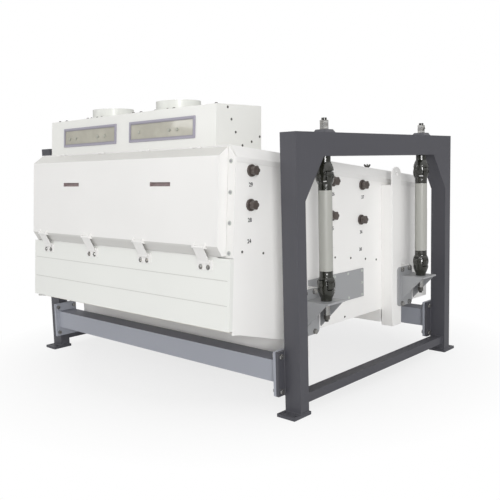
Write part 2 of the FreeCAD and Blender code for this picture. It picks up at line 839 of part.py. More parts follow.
def hood_hinges():
    """Fixed leaves with their middle knuckles and pins."""
    z = up_front(hinge_z)
    hinges = []
    for x in hinge_places:
        half = hinge_knuckle_half
        reach = half + hinge_side_gap + hinge_outer_knuckle
        barrel = rod(hinge_barrel_radius, vec(x - half, -hinge_offset, z), vec(1, 0, 0), 2 * half)
        pin = rod(hinge_pin_radius, vec(x - reach, -hinge_offset, z), vec(1, 0, 0), 2 * reach)
        leaf = box(x - half, x + half, -front_plate_thickness - hinge_leaf_thickness, -front_plate_thickness,
                   z - hinge_leaf_height, z)
        hinges.append(on_front(fuse([barrel, pin, leaf])))
    return hinges


def latch_bases():
    """Keeper plates on the lower front panel, each with a raised bar for the latch's toe."""
    bases = []
    face = -front_panel_depth
    low = up_front(latch_base_bottom_z)
    high = up_front(latch_base_top_z)
    out = face - latch_base_thickness
    for x in latch_places:
        plate = box(x - latch_base_half_width, x + latch_base_half_width, out, face, low, high)
        keeper = box(x - latch_strap_half_width, x + latch_strap_half_width, out - latch_keeper_depth, out,
                     up_front(latch_keeper_z), high)
        bases.append(on_front(fuse([plate, keeper])))
    return bases


def latch(x):
    """Strap latch on the hood that reaches down over its keeper."""
    pivot_z = up_front(latch_pivot_z)
    pivot = vec(x - latch_strap_half_width, -latch_pivot_depth, pivot_z)
    width = 2 * latch_strap_half_width
    barrel = rod(latch_barrel_radius, pivot, vec(1, 0, 0), width)
    bore = rod(latch_pin_radius + running_clearance, pivot, vec(1, 0, 0), width)
    t = latch_strap_thickness
    keeper = front_panel_depth + latch_base_thickness
    knee = keeper + latch_knee_gap + t
    knee_z = up_front(latch_knee_z)
    toe_z = up_front(latch_toe_z)
    out = latch_pivot_depth + latch_barrel_radius
    strap = prism_x([(-out, pivot_z), (-knee, knee_z), (-knee, toe_z), (-keeper - latch_toe_gap, toe_z),
                     (-keeper - latch_toe_gap, toe_z + t), (-knee + t, toe_z + t), (-knee + t, knee_z + t / 4),
                     (-out + 1.2 * t, pivot_z)], x - latch_strap_half_width, x + latch_strap_half_width)
    return on_front(cut(fuse([barrel, strap]), [bore]))


# Inlet head

def head_front(z):
    """Front face of the inlet head at a height."""
    return head_front_y + (z - roof_at(head_front_y)) * math.tan(math.radians(front_tilt))


def inlet_head():
    """Sheet housing on the roof with two window openings and two spout holes."""
    bottom_front = (head_front_y, roof_at(head_front_y))
    bottom_rear = (head_rear_bottom_y, roof_at(head_rear_bottom_y))
    outline = [bottom_front, (head_front(head_top_z), head_top_z), (head_rear_top_y, head_top_z), bottom_rear]
    shell = prism_x(outline, -head_half_width, head_half_width)
    t = head_sheet
    core = [(bottom_front[0] + t, bottom_front[1] - t), (head_front(head_top_z) + t, head_top_z - t),
            (head_rear_top_y - t, head_top_z - t), (bottom_rear[0] - t, bottom_rear[1] - t)]
    hollow = prism_x(core, -head_half_width + t, head_half_width - t)
    windows = both_sides([window_block(window_border, -t, 2 * t)])
    holes = [rod(spout_radius - spout_sheet, vec(x, spout_y, head_top_z - 2 * t), vec(0, 0, 1), 3 * t)
             for x in (-spout_half_spacing, spout_half_spacing)]
    return cut(shell, [hollow] + windows + holes)


def window_block(inset, y0, y1):
    """Block over the right window in the head's leaning front, from depth y0 to y1 behind its face."""
    low_z = window_bottom_z
    block = box(window_inner_x + inset, window_outer_x - inset, y0, y1, inset, window_height - inset)
    return turned(block, -front_tilt, head_front(low_z), low_z)


def window_frames():
    """Raised frames round the two windows."""
    ring = cut(window_block(0, -window_frame_thickness, 0),
               [window_block(window_border, -window_frame_thickness, 0)])
    return both_sides([ring])


def window_panes():
    """Clear panes set in the window openings."""
    pane = window_block(window_border + fit_gap, -pane_thickness / 2, pane_thickness / 2)
    return both_sides([pane])


def inlet_spouts():
    """Two round spouts with bolted collars on the inlet head."""
    spouts = []
    for x in (-spout_half_spacing, spout_half_spacing):
        base = vec(x, spout_y, head_top_z)
        tube = rod(spout_radius, base, vec(0, 0, 1), spout_height)
        collar = rod(spout_radius + spout_collar_width, base, vec(0, 0, 1), spout_collar_thickness)
        bore = rod(spout_radius - spout_sheet, base, vec(0, 0, 1), spout_height)
        spouts.append(cut(fuse([tube, collar]), [bore]))
    return spouts


# Inside of the box

def sieve_deck(y0, z0, slope):
    """Left and right sieve frames of one deck with their screens."""
    start = (deck_front_y - y0) / math.cos(math.radians(slope))
    end = (deck_rear_y - y0) / math.cos(math.radians(slope))
    half = sieve_frame_height / 2
    x0 = centre_wall_half + sieve_side_gap
    x1 = wall_inner_x - sieve_side_gap
    frame = box(x0, x1, start, end, -half, half)
    bay = (end - start - sieve_bar) / sieve_bar_count
    openings = [box(x0 + sieve_bar, x1 - sieve_bar, start + sieve_bar + i * bay, start + (i + 1) * bay,
                    -half, half)
                for i in range(sieve_bar_count)]
    frame = cut(frame, openings)
    screen = box(x0, x1, start, end, half, half + screen_thickness)
    return both_sides([turned(frame, -slope, y0, z0), turned(screen, -slope, y0, z0)])


def deck_rails(y0, z0, slope, x_wall, side):
    """Angle rail under one edge of a deck, fixed to the wall at x_wall."""
    start = (deck_front_y - y0) / math.cos(math.radians(slope))
    end = (deck_rear_y - y0) / math.cos(math.radians(slope))
    top = -sieve_frame_height / 2
    shelf = box(min(x_wall, x_wall + side * rail_leg), max(x_wall, x_wall + side * rail_leg), start, end,
                top - rail_sheet, top)
    leg = box(min(x_wall, x_wall + side * rail_sheet), max(x_wall, x_wall + side * rail_sheet), start, end,
              top - rail_leg, top - rail_sheet)
    return turned(fuse([shelf, leg]), -slope, y0, z0)


def sieve_rails():
    """Rails on both side walls for both decks."""
    rails = []
    for y0, z0, slope in ((upper_deck_y, upper_deck_z, upper_deck_slope),
                          (lower_deck_y, lower_deck_z, lower_deck_slope)):
        rails.append(deck_rails(y0, z0, slope, wall_inner_x, -1))
    return both_sides(rails)


def centre_wall():
    """Wall between the left and right sieves, with rails on both faces."""
    y0 = deck_front_y
    y1 = deck_rear_y
    low = fit_gap
    gap = 2.5 * roof_sheet
    outline = [(y0, slope_z(y0, pan_y, pan_z, pan_slope) + low),
               (y1, slope_z(y1, pan_y, pan_z, pan_slope) + low),
               (y1, roof_at(y1) - gap), (roof_hole_rear_y, roof_at(roof_hole_rear_y) - gap),
               (y0, roof_at(y0) - gap)]
    plate = prism_x(outline, -centre_wall_half, centre_wall_half)
    rails = []
    for ry, rz, slope in ((upper_deck_y, upper_deck_z, upper_deck_slope),
                          (lower_deck_y, lower_deck_z, lower_deck_slope)):
        rails.append(deck_rails(ry, rz, slope, centre_wall_half, 1))
    return fuse([plate] + both_sides(rails))


def bottom_pan():
    """Sloping collecting pan with upturned side flanges."""
    cosine = math.cos(math.radians(pan_slope))
    start = (deck_front_y - pan_y) / cosine
    end = (rear_y - rear_panel_thickness - pan_y) / cosine - 2 * pan_sheet
    half = wall_inner_x - fit_gap
    sheet = box(-half, half, start, end, 0, pan_sheet)
    flange = box(half - pan_sheet, half, start, end, pan_sheet, pan_flange)
    return turned(fuse([sheet] + both_sides([flange])), -pan_slope, pan_y, pan_z - pan_sheet)


def base_floor():
    """Folded floor sheet that follows the lower edge of the side walls."""
    t = floor_sheet
    outline = [(nose_y, nose_z), (belly_front_y, belly_z), (rear_y - rear_panel_thickness, belly_z),
               (rear_y - rear_panel_thickness, belly_z + t), (belly_front_y + t / 4, belly_z + t),
               (nose_y, nose_z + t)]
    return prism_x(outline, -wall_inner_x + fit_gap, wall_inner_x - fit_gap)


def rear_panel():
    """Rear wall between the side walls, with a discharge slot for each deck and the pan."""
    top = wall_top(rear_y)
    y0 = rear_y - rear_panel_thickness
    panel = box(-wall_inner_x + fit_gap, wall_inner_x - fit_gap, y0, rear_y, belly_z, top)
    slots = []
    for ry, rz, slope, drop in ((upper_deck_y, upper_deck_z, upper_deck_slope, discharge_slot_drop),
                                (lower_deck_y, lower_deck_z, lower_deck_slope, discharge_slot_drop),
                                (pan_y, pan_z, pan_slope, -pan_sheet)):
        low = slope_z(rear_y, ry, rz, slope) - drop
        slot = box(discharge_slot_inner_x, discharge_half_width - discharge_slot_inner_x, y0, rear_y,
                   low, low + discharge_slot_height)
        slots += both_sides([slot])
    return cut(panel, slots)


def discharge_head():
    """Sheet trunk on the rear panel that gathers the products, with four round outlets below."""
    t = discharge_sheet
    reach = rear_y + discharge_reach
    brow = rear_y + discharge_brow
    shoulder = discharge_top_z - discharge_shoulder_drop
    outline = [(rear_y, discharge_bottom_z), (rear_y, discharge_top_z), (brow, discharge_top_z),
               (reach, shoulder), (reach, discharge_bottom_z)]
    shell = prism_x(outline, -discharge_half_width, discharge_half_width)
    core = [(rear_y, discharge_bottom_z + t), (rear_y, discharge_top_z - t), (brow - t / 2, discharge_top_z - t),
            (reach - t, shoulder - t / 2), (reach - t, discharge_bottom_z + t)]
    hollow = prism_x(core, -discharge_half_width + t, discharge_half_width - t)
    body = cut(shell, [hollow])
    tubes = []
    bores = []
    for x in outlet_places:
        low = vec(x, outlet_y, outlet_bottom_z)
        height = discharge_bottom_z - outlet_bottom_z
        tubes.append(rod(outlet_radius, low, vec(0, 0, 1), height))
        bores.append(rod(outlet_radius - t, low, vec(0, 0, 1), height + t))
    return cut(fuse([body] + tubes), bores)


# Support frame and brackets

def support_post(y):
    """Right-hand post beside the box, with a round-topped lifting lug on its outer plate."""
    tube_top = roof_at(y) - roof_chamfer_drop - roof_lip_height - support_tube_top_gap
    x1 = box_half_width + support_post_tube_x
    tube = box(box_half_width, x1, y - support_post_half_y, y + support_post_half_y,
               support_post_bottom, tube_top)
    wall = support_post_wall
    core = box(box_half_width + wall, x1 - wall, y - support_post_half_y + wall, y + support_post_half_y - wall,
               support_post_bottom, tube_top - wall)
    tube = cut(tube, [core])
    lug_top = roof_at(y) + lug_rise
    centre_z = lug_top - support_post_half_y
    plate = box(x1, support_outer_x, y - support_post_half_y, y + support_post_half_y,
                support_post_bottom, centre_z)
    crown = rod(support_post_half_y, vec(x1, y, centre_z), vec(1, 0, 0), support_plate_thickness)
    eye = rod(lug_hole_radius, vec(x1, y, lug_top - lug_hole_drop), vec(1, 0, 0), support_plate_thickness)
    return cut(fuse([tube, plate, crown]), [eye])


def cross_beam(y):
    """Square tube across under the floor, open at its ends where the posts close it."""
    z1 = belly_z - fit_gap
    z0 = z1 - cross_beam_height
    outer = box(-box_half_width, box_half_width, y - cross_beam_half_y, y + cross_beam_half_y, z0, z1)
    t = cross_beam_wall
    core = box(-box_half_width, box_half_width, y - cross_beam_half_y + t, y + cross_beam_half_y - t,
               z0 + t, z1 - t)
    return cut(outer, [core])


def support_frame():
    """Two cross beams with a post at each end."""
    parts = []
    for y in (front_post_y, rear_post_y):
        post = support_post(y)
        parts.append(fuse([cross_beam(y), post, flip_x(post)]))
    return parts


def rounded_plate(x0, x1, y0, y1, z0, z1, radius):
    """Upright plate in the YZ plane with four round corners."""
    plate = box(x0, x1, y0, y1, z0, z1)
    edges = [e for e in plate.Edges if abs(e.tangentAt(e.FirstParameter).x) > 0.9]
    return plate.makeFillet(radius, edges)


def hanger_bracket(y):
    """Right-hand bracket: base plate, table and two gussets, with the stud hole."""
    base_y = y + bracket_base_shift
    x0 = support_outer_x
    x1 = x0 + bracket_base_thickness
    base = rounded_plate(x0, x1, base_y - bracket_base_half_y, base_y + bracket_base_half_y,
                         bracket_base_bottom, bracket_base_top, bracket_corner_radius)
    under = table_top_z - table_thickness
    table = box(x1, table_outer_x, y - table_half_y, y + table_half_y, under, table_top_z)
    gussets = []
    for y0 in (y - table_half_y, y + table_half_y - bracket_gusset_thickness):
        points = [vec(x1, y0, under), vec(bracket_gusset_outer_x, y0, under),
                  vec(x1, y0, bracket_gusset_foot_z)]
        gussets.append(prism(points, vec(0, bracket_gusset_thickness, 0)))
    holes = [rod(lower_stud_radius + stud_hole_clearance, vec(portal_mid_x, y, under), vec(0, 0, 1),
                 table_thickness)]
    for dy, z in bracket_bolt_points():
        holes.append(rod(bracket_bolt_radius + bolt_hole_clearance, vec(x0, base_y + dy, z), vec(1, 0, 0),
                         bracket_base_thickness))
    return cut(fuse([base, table] + gussets), holes)


def bracket_bolt_points():
    """(offset along Y, z) of a bracket's four bolts."""
    return [(dy, z) for dy in (-bracket_bolt_half_y, bracket_bolt_half_y)
            for z in (bracket_bolt_low_z, bracket_bolt_high_z)]


def hanger_brackets():
    return [hanger_bracket(-hanger_half_spacing), hanger_bracket(hanger_half_spacing)]


def bracket_backing(y, post_y_centre):
    """White block that carries the part of a bracket's base plate that stands clear of the post."""
    return (post_y_centre + support_post_half_y, y + bracket_base_shift + bracket_base_half_y)


def bracket_mounts():
    """Hollow spacer blocks between the side wall and the brackets' base plates."""
    blocks = []
    for y, post in ((-hanger_half_spacing, front_post_y), (hanger_half_spacing, rear_post_y)):
        y0, y1 = bracket_backing(y, post)
        blocks.append(box(box_half_width, support_outer_x, y0, y1, bracket_base_bottom, bracket_base_top))
    return blocks


def bracket_bolts():
    """Bolts of the right-hand brackets: heads outside, shanks into the posts and spacer blocks."""
    bolts = []
    x0 = support_outer_x
    x1 = x0 + bracket_base_thickness
    for y in (-hanger_half_spacing, hanger_half_spacing):
        for dy, z in bracket_bolt_points():
            at = y + bracket_base_shift + dy
            shank = rod(bracket_bolt_radius, vec(x0, at, z), vec(1, 0, 0), bracket_base_thickness)
            washer = rod(washer_radius, vec(x1, at, z), vec(1, 0, 0), washer_thickness)
            head = hexagon(bracket_bolt_flats, bolt_head_ratio * 2 * bracket_bolt_radius,
                           vec(x1 + washer_thickness, at, z), vec(1, 0, 0))
            bolts.append(fuse([shank, washer, head]))
    return bolts


def side_plates():
    """Right-hand stiffening plate on the side wall between the posts."""
    y0 = bracket_backing(-hanger_half_spacing, front_post_y)[1] + side_plate_post_gap
    return [box(box_half_width, box_half_width + side_plate_thickness, y0, side_plate_rear_y,
                side_plate_bottom, side_plate_top)]


# Clamp knobs

def knob_flange(y, z):
    """Round flange on the side wall that guides a clamp knob's stem."""
    base = vec(box_half_width, y, z)
    disc = rod(knob_flange_radius, base, vec(1, 0, 0), knob_flange_thickness)
    bore = rod(knob_stem_radius + running_clearance, base, vec(1, 0, 0), knob_flange_thickness)
    return cut(disc, [bore])


def knob_flanges():
    return both_sides([knob_flange(y, z) for y, z in deck_places()])


def star_outline(x, y, z):
    """Lobed outline of the knob: arcs over the lobes through the valleys between them."""
    edges = []
    step = 2 * math.pi / knob_lobes

    def point(radius, angle):
        return vec(x, y + radius * math.cos(angle), z + radius * math.sin(angle))

    for i in range(knob_lobes):
        middle = i * step
        start = point(knob_star_valley, middle - step / 2)
        end = point(knob_star_valley, middle + step / 2)
        edges.append(Part.Arc(start, point(knob_star_radius, middle), end).toShape())
    return Part.Wire(edges)


def clamp_knob(y, z):
    """Right-hand star knob with its hub and stem through flange and wall."""
    inside = wall_inner_x - knob_stem_inside
    star_x = box_half_width + knob_star_start
    hub_x = box_half_width + knob_flange_thickness + fit_gap
    stem = rod(knob_stem_radius, vec(inside, y, z), vec(1, 0, 0), hub_x - inside)
    hub = rod(knob_hub_radius, vec(hub_x, y, z), vec(1, 0, 0), star_x - hub_x)
    star = Part.Face(star_outline(star_x, y, z)).extrude(vec(knob_star_thickness, 0, 0))
    return fuse([stem, hub, star])


# Drive

def drive_plate():
    """Plate between the floor and the motor."""
    return box(-drive_plate_half, drive_plate_half, drive_y - drive_plate_half, drive_y + drive_plate_half,
               belly_z - drive_plate_thickness, belly_z)


def drive_motor():
    """Flange motor, shaft downwards, with cooling ribs round its frame."""
    top = belly_z - drive_plate_thickness
    flange = rod(motor_flange_radius, vec(0, drive_y, top - motor_flange_thickness), vec(0, 0, 1),
                 motor_flange_thickness)
    bottom = top - motor_flange_thickness - motor_height
    frame = rod(motor_radius, vec(0, drive_y, bottom), vec(0, 0, 1), motor_height)
    ribs = []
    for i in range(motor_rib_count):
        rib = box(0, motor_radius + motor_rib_depth, -motor_rib_width / 2, motor_rib_width / 2,
                  bottom + motor_rib_depth, bottom + motor_height)
        rib.Placement = FreeCAD.Placement(vec(0, drive_y, 0),
                                          FreeCAD.Rotation(vec(0, 0, 1), 360.0 * i / motor_rib_count))
        ribs.append(rib)
    shaft = rod(motor_shaft_radius, vec(0, drive_y, bottom - motor_shaft_length), vec(0, 0, 1),
                motor_shaft_length)
    return fuse([flange, frame, shaft] + ribs)


def unbalance_weight():
    """Half-disc weight with its hub on the motor shaft."""
    bottom = belly_z - drive_plate_thickness - motor_flange_thickness - motor_height
    z0 = bottom - weight_gap - weight_height
    disc = rod(weight_radius, vec(0, drive_y, z0), vec(0, 0, 1), weight_height)
    half = box(-weight_radius, weight_radius, drive_y, drive_y + weight_radius, z0, z0 + weight_height)
    hub = rod(weight_hub_radius, vec(0, drive_y, z0), vec(0, 0, 1), weight_height)
    bore = rod(motor_shaft_radius + running_clearance, vec(0, drive_y, z0), vec(0, 0, 1), weight_height)
    return cut(fuse([disc.common(half), hub]), [bore])


def build_nodes():
    """Every named piece of the machine with its solids."""
    nodes = {}
    right = portal_frame()
    nodes["portal_frame_right"] = [right]
    nodes["portal_frame_left"] = [flip_x(right)]
    front_beam = tie_beam()
    nodes["front_tie_beam"] = [front_beam]
    nodes["rear_tie_beam"] = [flip_y(front_beam)]
    nodes["upper_hanger_yokes"] = list(at_corners(upper_yoke()).values())
    nodes["frame_fasteners"] = tie_beam_bolts() + [s for nut in upper_nuts() for s in at_corners(nut).values()]
    for corner, shape in at_corners(placed(cardan_cross(), upper_pivot_z)).items():
        nodes["upper_cross_" + corner] = [shape]
    for corner, shape in at_corners(hanger_shaft()).items():
        nodes["hanger_shaft_" + corner] = [shape]
    for corner, shape in at_corners(placed(cardan_cross(), lower_pivot_z)).items():
        nodes["lower_cross_" + corner] = [shape]
    nodes["lower_hanger_yokes"] = list(at_corners(lower_yoke()).values())
    wall = side_wall()
    nodes["side_wall_right"] = [wall]
    nodes["side_wall_left"] = [flip_x(wall)]
    nodes["top_cover"] = [top_cover()]
    nodes["front_frame"] = [front_frame()]
    nodes["front_panel"] = [front_panel()]
    nodes["rear_panel"] = [rear_panel()]
    nodes["base_floor"] = [base_floor(), drive_plate()]
    nodes["inlet_head"] = [inlet_head()]
    nodes["inlet_spouts"] = inlet_spouts()
    nodes["window_frames"] = window_frames()
    nodes["window_panes"] = window_panes()
    nodes["upper_sieves"] = sieve_deck(upper_deck_y, upper_deck_z, upper_deck_slope)
    nodes["lower_sieves"] = sieve_deck(lower_deck_y, lower_deck_z, lower_deck_slope)
    nodes["sieve_supports"] = sieve_rails() + [centre_wall()]
    nodes["bottom_pan"] = [bottom_pan()]
    nodes["discharge_head"] = [discharge_head()]
    nodes["support_frame"] = support_frame()
    nodes["side_reinforcements"] = both_sides(bracket_mounts() + side_plates())
    nodes["hanger_brackets"] = both_sides(hanger_brackets())
    nodes["bracket_fasteners"] = both_sides(bracket_bolts())
    nodes["bracket_fasteners"] += [s for part in lower_nut_stack() for s in at_corners(part).values()]
    nodes["knob_flanges"] = knob_flanges()
    names = ("front_upper", "front_lower", "middle_upper", "middle_lower", "rear_upper", "rear_lower")
    for name, (y, z) in zip(names, deck_places()):
        knob = clamp_knob(y, z)
        nodes["knob_right_" + name] = [knob]
        nodes["knob_left_" + name] = [flip_x(knob)]
    nodes["access_hood"] = [access_hood()]
    nodes["hood_fittings"] = hood_hinges() + latch_bases()
    for i, x in enumerate(latch_places):
        nodes["latch_" + str(i + 1)] = [latch(x)]
    nodes["drive_motor"] = [drive_motor()]
    nodes["unbalance_weight"] = [unbalance_weight()]
    return nodes


def main():
    os.makedirs("parts", exist_ok=True)
    for name, solids in build_nodes().items():
        shape = Part.makeCompound(solids) if len(solids) > 1 else solids[0]
        shape.exportStep("parts/" + name + ".step")


main()
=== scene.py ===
"""Dresses the grain separator for its render: finishes, rounded sheet edges, screws, knobs and studio."""

import json
import logging
import math
from collections.abc import Callable, Iterable
from dataclasses import dataclass
from enum import Enum

import bmesh
import bpy
from mathutils import Matrix, Vector

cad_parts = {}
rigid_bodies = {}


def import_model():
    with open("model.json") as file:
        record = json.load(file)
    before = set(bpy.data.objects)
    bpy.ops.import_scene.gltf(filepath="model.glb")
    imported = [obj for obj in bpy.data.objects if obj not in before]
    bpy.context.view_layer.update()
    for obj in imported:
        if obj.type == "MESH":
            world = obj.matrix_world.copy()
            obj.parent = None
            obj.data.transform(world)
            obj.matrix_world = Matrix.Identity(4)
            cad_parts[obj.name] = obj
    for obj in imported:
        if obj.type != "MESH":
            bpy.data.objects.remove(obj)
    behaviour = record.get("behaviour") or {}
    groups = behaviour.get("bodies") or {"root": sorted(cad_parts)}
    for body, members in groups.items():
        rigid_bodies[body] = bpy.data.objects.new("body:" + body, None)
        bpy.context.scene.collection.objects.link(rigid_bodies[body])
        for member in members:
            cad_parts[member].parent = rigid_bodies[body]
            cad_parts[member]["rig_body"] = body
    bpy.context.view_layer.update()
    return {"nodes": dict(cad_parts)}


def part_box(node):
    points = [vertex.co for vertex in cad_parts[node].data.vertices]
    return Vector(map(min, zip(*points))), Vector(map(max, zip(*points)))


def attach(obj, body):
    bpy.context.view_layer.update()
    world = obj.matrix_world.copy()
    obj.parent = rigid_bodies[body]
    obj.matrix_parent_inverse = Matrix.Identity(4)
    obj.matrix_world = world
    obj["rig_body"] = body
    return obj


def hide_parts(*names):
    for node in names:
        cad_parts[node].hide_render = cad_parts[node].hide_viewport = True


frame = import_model()

logging.basicConfig(level=logging.INFO, format="%(name)s: %(message)s")
LOG = logging.getLogger("separator")

Point = tuple[float, float, float]
Colour = tuple[float, float, float]
Seat = tuple[Vector, Vector]
Outline = list[tuple[float, float]]


class Body(Enum):
    """The rigid bodies that dressed pieces ride on."""

    FRAME = "frame"
    BOX = "sieve_box"
    HOOD = "access_hood"
    WEIGHT = "unbalance_weight"


def linear(red: float, green: float, blue: float) -> Colour:
    """Turn a screen colour into the linear colour that a shader takes.

    Args:
        red: Red on the 0 to 255 scale.
        green: Green on the 0 to 255 scale.
        blue: Blue on the 0 to 255 scale.

    Returns:
        The linear red, green and blue.
    """
    def one(value: float) -> float:
        """Return one linear channel."""
        share = value / 255
        return share / 12.92 if share <= 0.04045 else ((share + 0.055) / 1.055) ** 2.4

    return one(red), one(green), one(blue)


def opaque(colour: Colour) -> tuple[float, float, float, float]:
    """Return the colour with a full alpha."""
    return colour[0], colour[1], colour[2], 1.0


class Signal:
    """A shader socket that takes part in Python expressions."""

    def __init__(self, graph: "Graph", socket: bpy.types.NodeSocket) -> None:
        """Keep the graph and the socket that carries the value."""
        self.graph = graph
        self.socket = socket

    def _math(self, operation: str, first: object, second: object) -> "Signal":
        """Add one Math node.

        Args:
            operation: The node's operation.
            first: The first value or signal.
            second: The second value or signal.

        Returns:
            The node's result.
        """
        return self.graph.make("ShaderNodeMath", {"operation": operation}, {0: first, 1: second})

    def __add__(self, other: object) -> "Signal":
        """Return the sum."""
        return self._math("ADD", self, other)

    def __radd__(self, other: object) -> "Signal":
        """Return the sum with a number on the left."""
        return self._math("ADD", other, self)

    def __sub__(self, other: object) -> "Signal":
        """Return the difference."""
        return self._math("SUBTRACT", self, other)

    def __rsub__(self, other: object) -> "Signal":
        """Return the difference from a number on the left."""
        return self._math("SUBTRACT", other, self)

    def __mul__(self, other: object) -> "Signal":
        """Return the product."""
        return self._math("MULTIPLY", self, other)

    def __rmul__(self, other: object) -> "Signal":
        """Return the product with a number on the left."""
        return self._math("MULTIPLY", other, self)

    def __pow__(self, other: object) -> "Signal":
        """Return the power."""
        return self._math("POWER", self, other)

    def above(self, low: float, high: float) -> "Signal":
        """Ramp from 0 at the low value to 1 at the high one.

        Args:
            low: Value that gives 0.
            high: Value that gives 1.

        Returns:
            The clamped ramp.
        """
        return self.graph.make("ShaderNodeMapRange", {"clamp": True}, {"Value": self, 1: low, 2: high})


class Graph:
    """A node tree under construction, for shaders and for geometry alike."""

    def __init__(self, tree: bpy.types.NodeTree) -> None:
        """Keep the tree."""
        self.tree = tree

    def node(self, kind: str, settings: dict[str, object] | None = None,
             sockets: dict[object, object] | None = None) -> bpy.types.Node:
        """Add a node, set it up and feed its sockets.

        Args:
            kind: Blender's type name of the node.
            settings: Properties to set first.
            sockets: Values, signals or sockets by input name or number.

        Returns:
            The new node.
        """
        made = self.tree.nodes.new(kind)
        for name, value in (settings or {}).items():
            setattr(made, name, value)
        for key, value in (sockets or {}).items():
            target = made.inputs[key]
            source = value.socket if isinstance(value, Signal) else value
            if isinstance(source, bpy.types.NodeSocket):
                self.tree.links.new(source, target)
            else:
                target.default_value = source
        return made

    def make(self, kind: str, settings: dict[str, object] | None = None,
             sockets: dict[object, object] | None = None, output: object = 0) -> Signal:
        """Add a node and return one of its outputs.

        Args:
            kind: Blender's type name of the node.
            settings: Properties to set first.
            sockets: Values, signals or sockets by input name or number.
            output: Name or number of the output.

        Returns:
            The chosen output.
        """
        return Signal(self, self.node(kind, settings, sockets).outputs[output])

    def blend(self, factor: object, first: object, second: object) -> Signal:
        """Mix two colours.

        Args:
            factor: Share of the second colour.
            first: Colour at factor 0.
            second: Colour at factor 1.

        Returns:
            The mixed colour.
        """
        return self.make("ShaderNodeMix", {"data_type": "RGBA", "clamp_factor": True},
                         {0: factor, 6: first, 7: second}, 2)


class SurfaceGraph(Graph):
    """The graph of one material, with the patterns that the finishes share."""

    def __init__(self, name: str) -> None:
        """Start a material and clear its tree."""
        self.material = bpy.data.materials.new(name)
        self.material.use_nodes = True
        super().__init__(self.material.node_tree)
        self.tree.nodes.clear()
        self.place = self.make("ShaderNodeTexCoord", output="Object")

    def stretched(self, scale: Point) -> Signal:
        """Return the object's coordinates scaled along each axis."""
        return self.make("ShaderNodeMapping", {}, {"Vector": self.place, "Scale": scale})

    def noise(self, scale: float, detail: float = 2.0, vector: Signal | None = None) -> Signal:
        """Add a noise pattern.

        Args:
            scale: Features per metre.
            detail: Octaves of finer noise.
            vector: Coordinates to read instead of the object's own.

        Returns:
            The pattern from 0 to 1.
        """
        return self.make("ShaderNodeTexNoise", {}, {"Vector": vector or self.place, "Scale": scale,
                                                   "Detail": detail})

    def facing_up(self) -> Signal:
        """Return how far the surface faces the sky, from 0 to 1."""
        normal = self.node("ShaderNodeNewGeometry").outputs["Normal"]
        return self.make("ShaderNodeSeparateXYZ", {}, {0: normal}, "Z").above(0.6, 1.0)

    def bump(self, height: Signal, distance: float, under: Signal | None = None) -> Signal:
        """Add a bump.

        Args:
            height: The relief.
            distance: Height of the relief in metres.
            under: A bump that this one lies on.

        Returns:
            The bent normal.
        """
        sockets: dict[object, object] = {"Height": height, "Distance": distance, "Strength": 1.0}
        if under is not None:
            sockets["Normal"] = under
        return self.make("ShaderNodeBump", {}, sockets)

    def close(self, fixed: dict[str, object], varied: dict[str, Signal]) -> bpy.types.Material:
        """End the tree with a Principled shader.

        Args:
            fixed: Values that are the same all over.
            varied: Signals that change over the surface.

        Returns:
            The finished material.
        """
        shader = self.node("ShaderNodeBsdfPrincipled", {}, {**fixed, **varied})
        self.node("ShaderNodeOutputMaterial", {}, {"Surface": shader.outputs[0]})
        return self.material


@dataclass(frozen=True)
class SheetPaint:
    """Powder coat on sheet or tube, with faint orange peel, handling marks and settled dust."""

    name: str
    colour: Colour
    roughness: float = 0.42
    coat: float = 0.18
    variation: float = 0.03
    waviness: float = 0.0004
    dust: float = 0.10

    def build(self) -> bpy.types.Material:
        """Return the material."""
        graph = SurfaceGraph(self.name)
        broad = graph.noise(1.1, 3.0)
        smear = graph.noise(1.0, 4.0, graph.stretched((2.0, 2.0, 11.0)))
        shade = tuple(c * (1 - 1.6 * self.variation) for c in self.colour)
        worn = graph.blend(broad.above(0.35, 0.75) * 0.7, opaque(self.colour), opaque(shade))
        dusty = graph.blend(graph.facing_up() * graph.noise(5.0, 4.0) * self.dust, worn,
                            opaque(linear(214, 210, 200)))
        rough = self.roughness + (smear - 0.5) * 0.22 + graph.facing_up() * 0.12
        waves = graph.bump(graph.noise(1.7, 1.0), self.waviness)
        peel = graph.bump(graph.noise(420.0, 2.0), 0.00006, waves)
        return graph.close({"Coat Weight": self.coat, "Coat Roughness": 0.18, "IOR": 1.5},
                           {"Base Color": dusty, "Roughness": rough, "Normal": peel})


@dataclass(frozen=True)
class BrushedSteel:
    """Ground or brushed bare steel with fine lines along one axis."""

    name: str
    colour: Colour
    roughness: float = 0.32
    lines: Point = (60.0, 60.0, 900.0)
    metal: float = 1.0

    def build(self) -> bpy.types.Material:
        """Return the material."""
        graph = SurfaceGraph(self.name)
        grain = graph.noise(1.0, 3.0, graph.stretched(self.lines))
        cloud = graph.noise(7.0, 3.0)
        dark = tuple(c * 0.80 for c in self.colour)
        tone = graph.blend(cloud.above(0.3, 0.8) * 0.6 + (grain - 0.5) * 0.25, opaque(self.colour), opaque(dark))
        rough = self.roughness + (cloud - 0.5) * 0.18 + (grain - 0.5) * 0.12
        return graph.close({"Metallic": self.metal},
                           {"Base Color": tone, "Roughness": rough, "Normal": graph.bump(grain, 0.00004)})


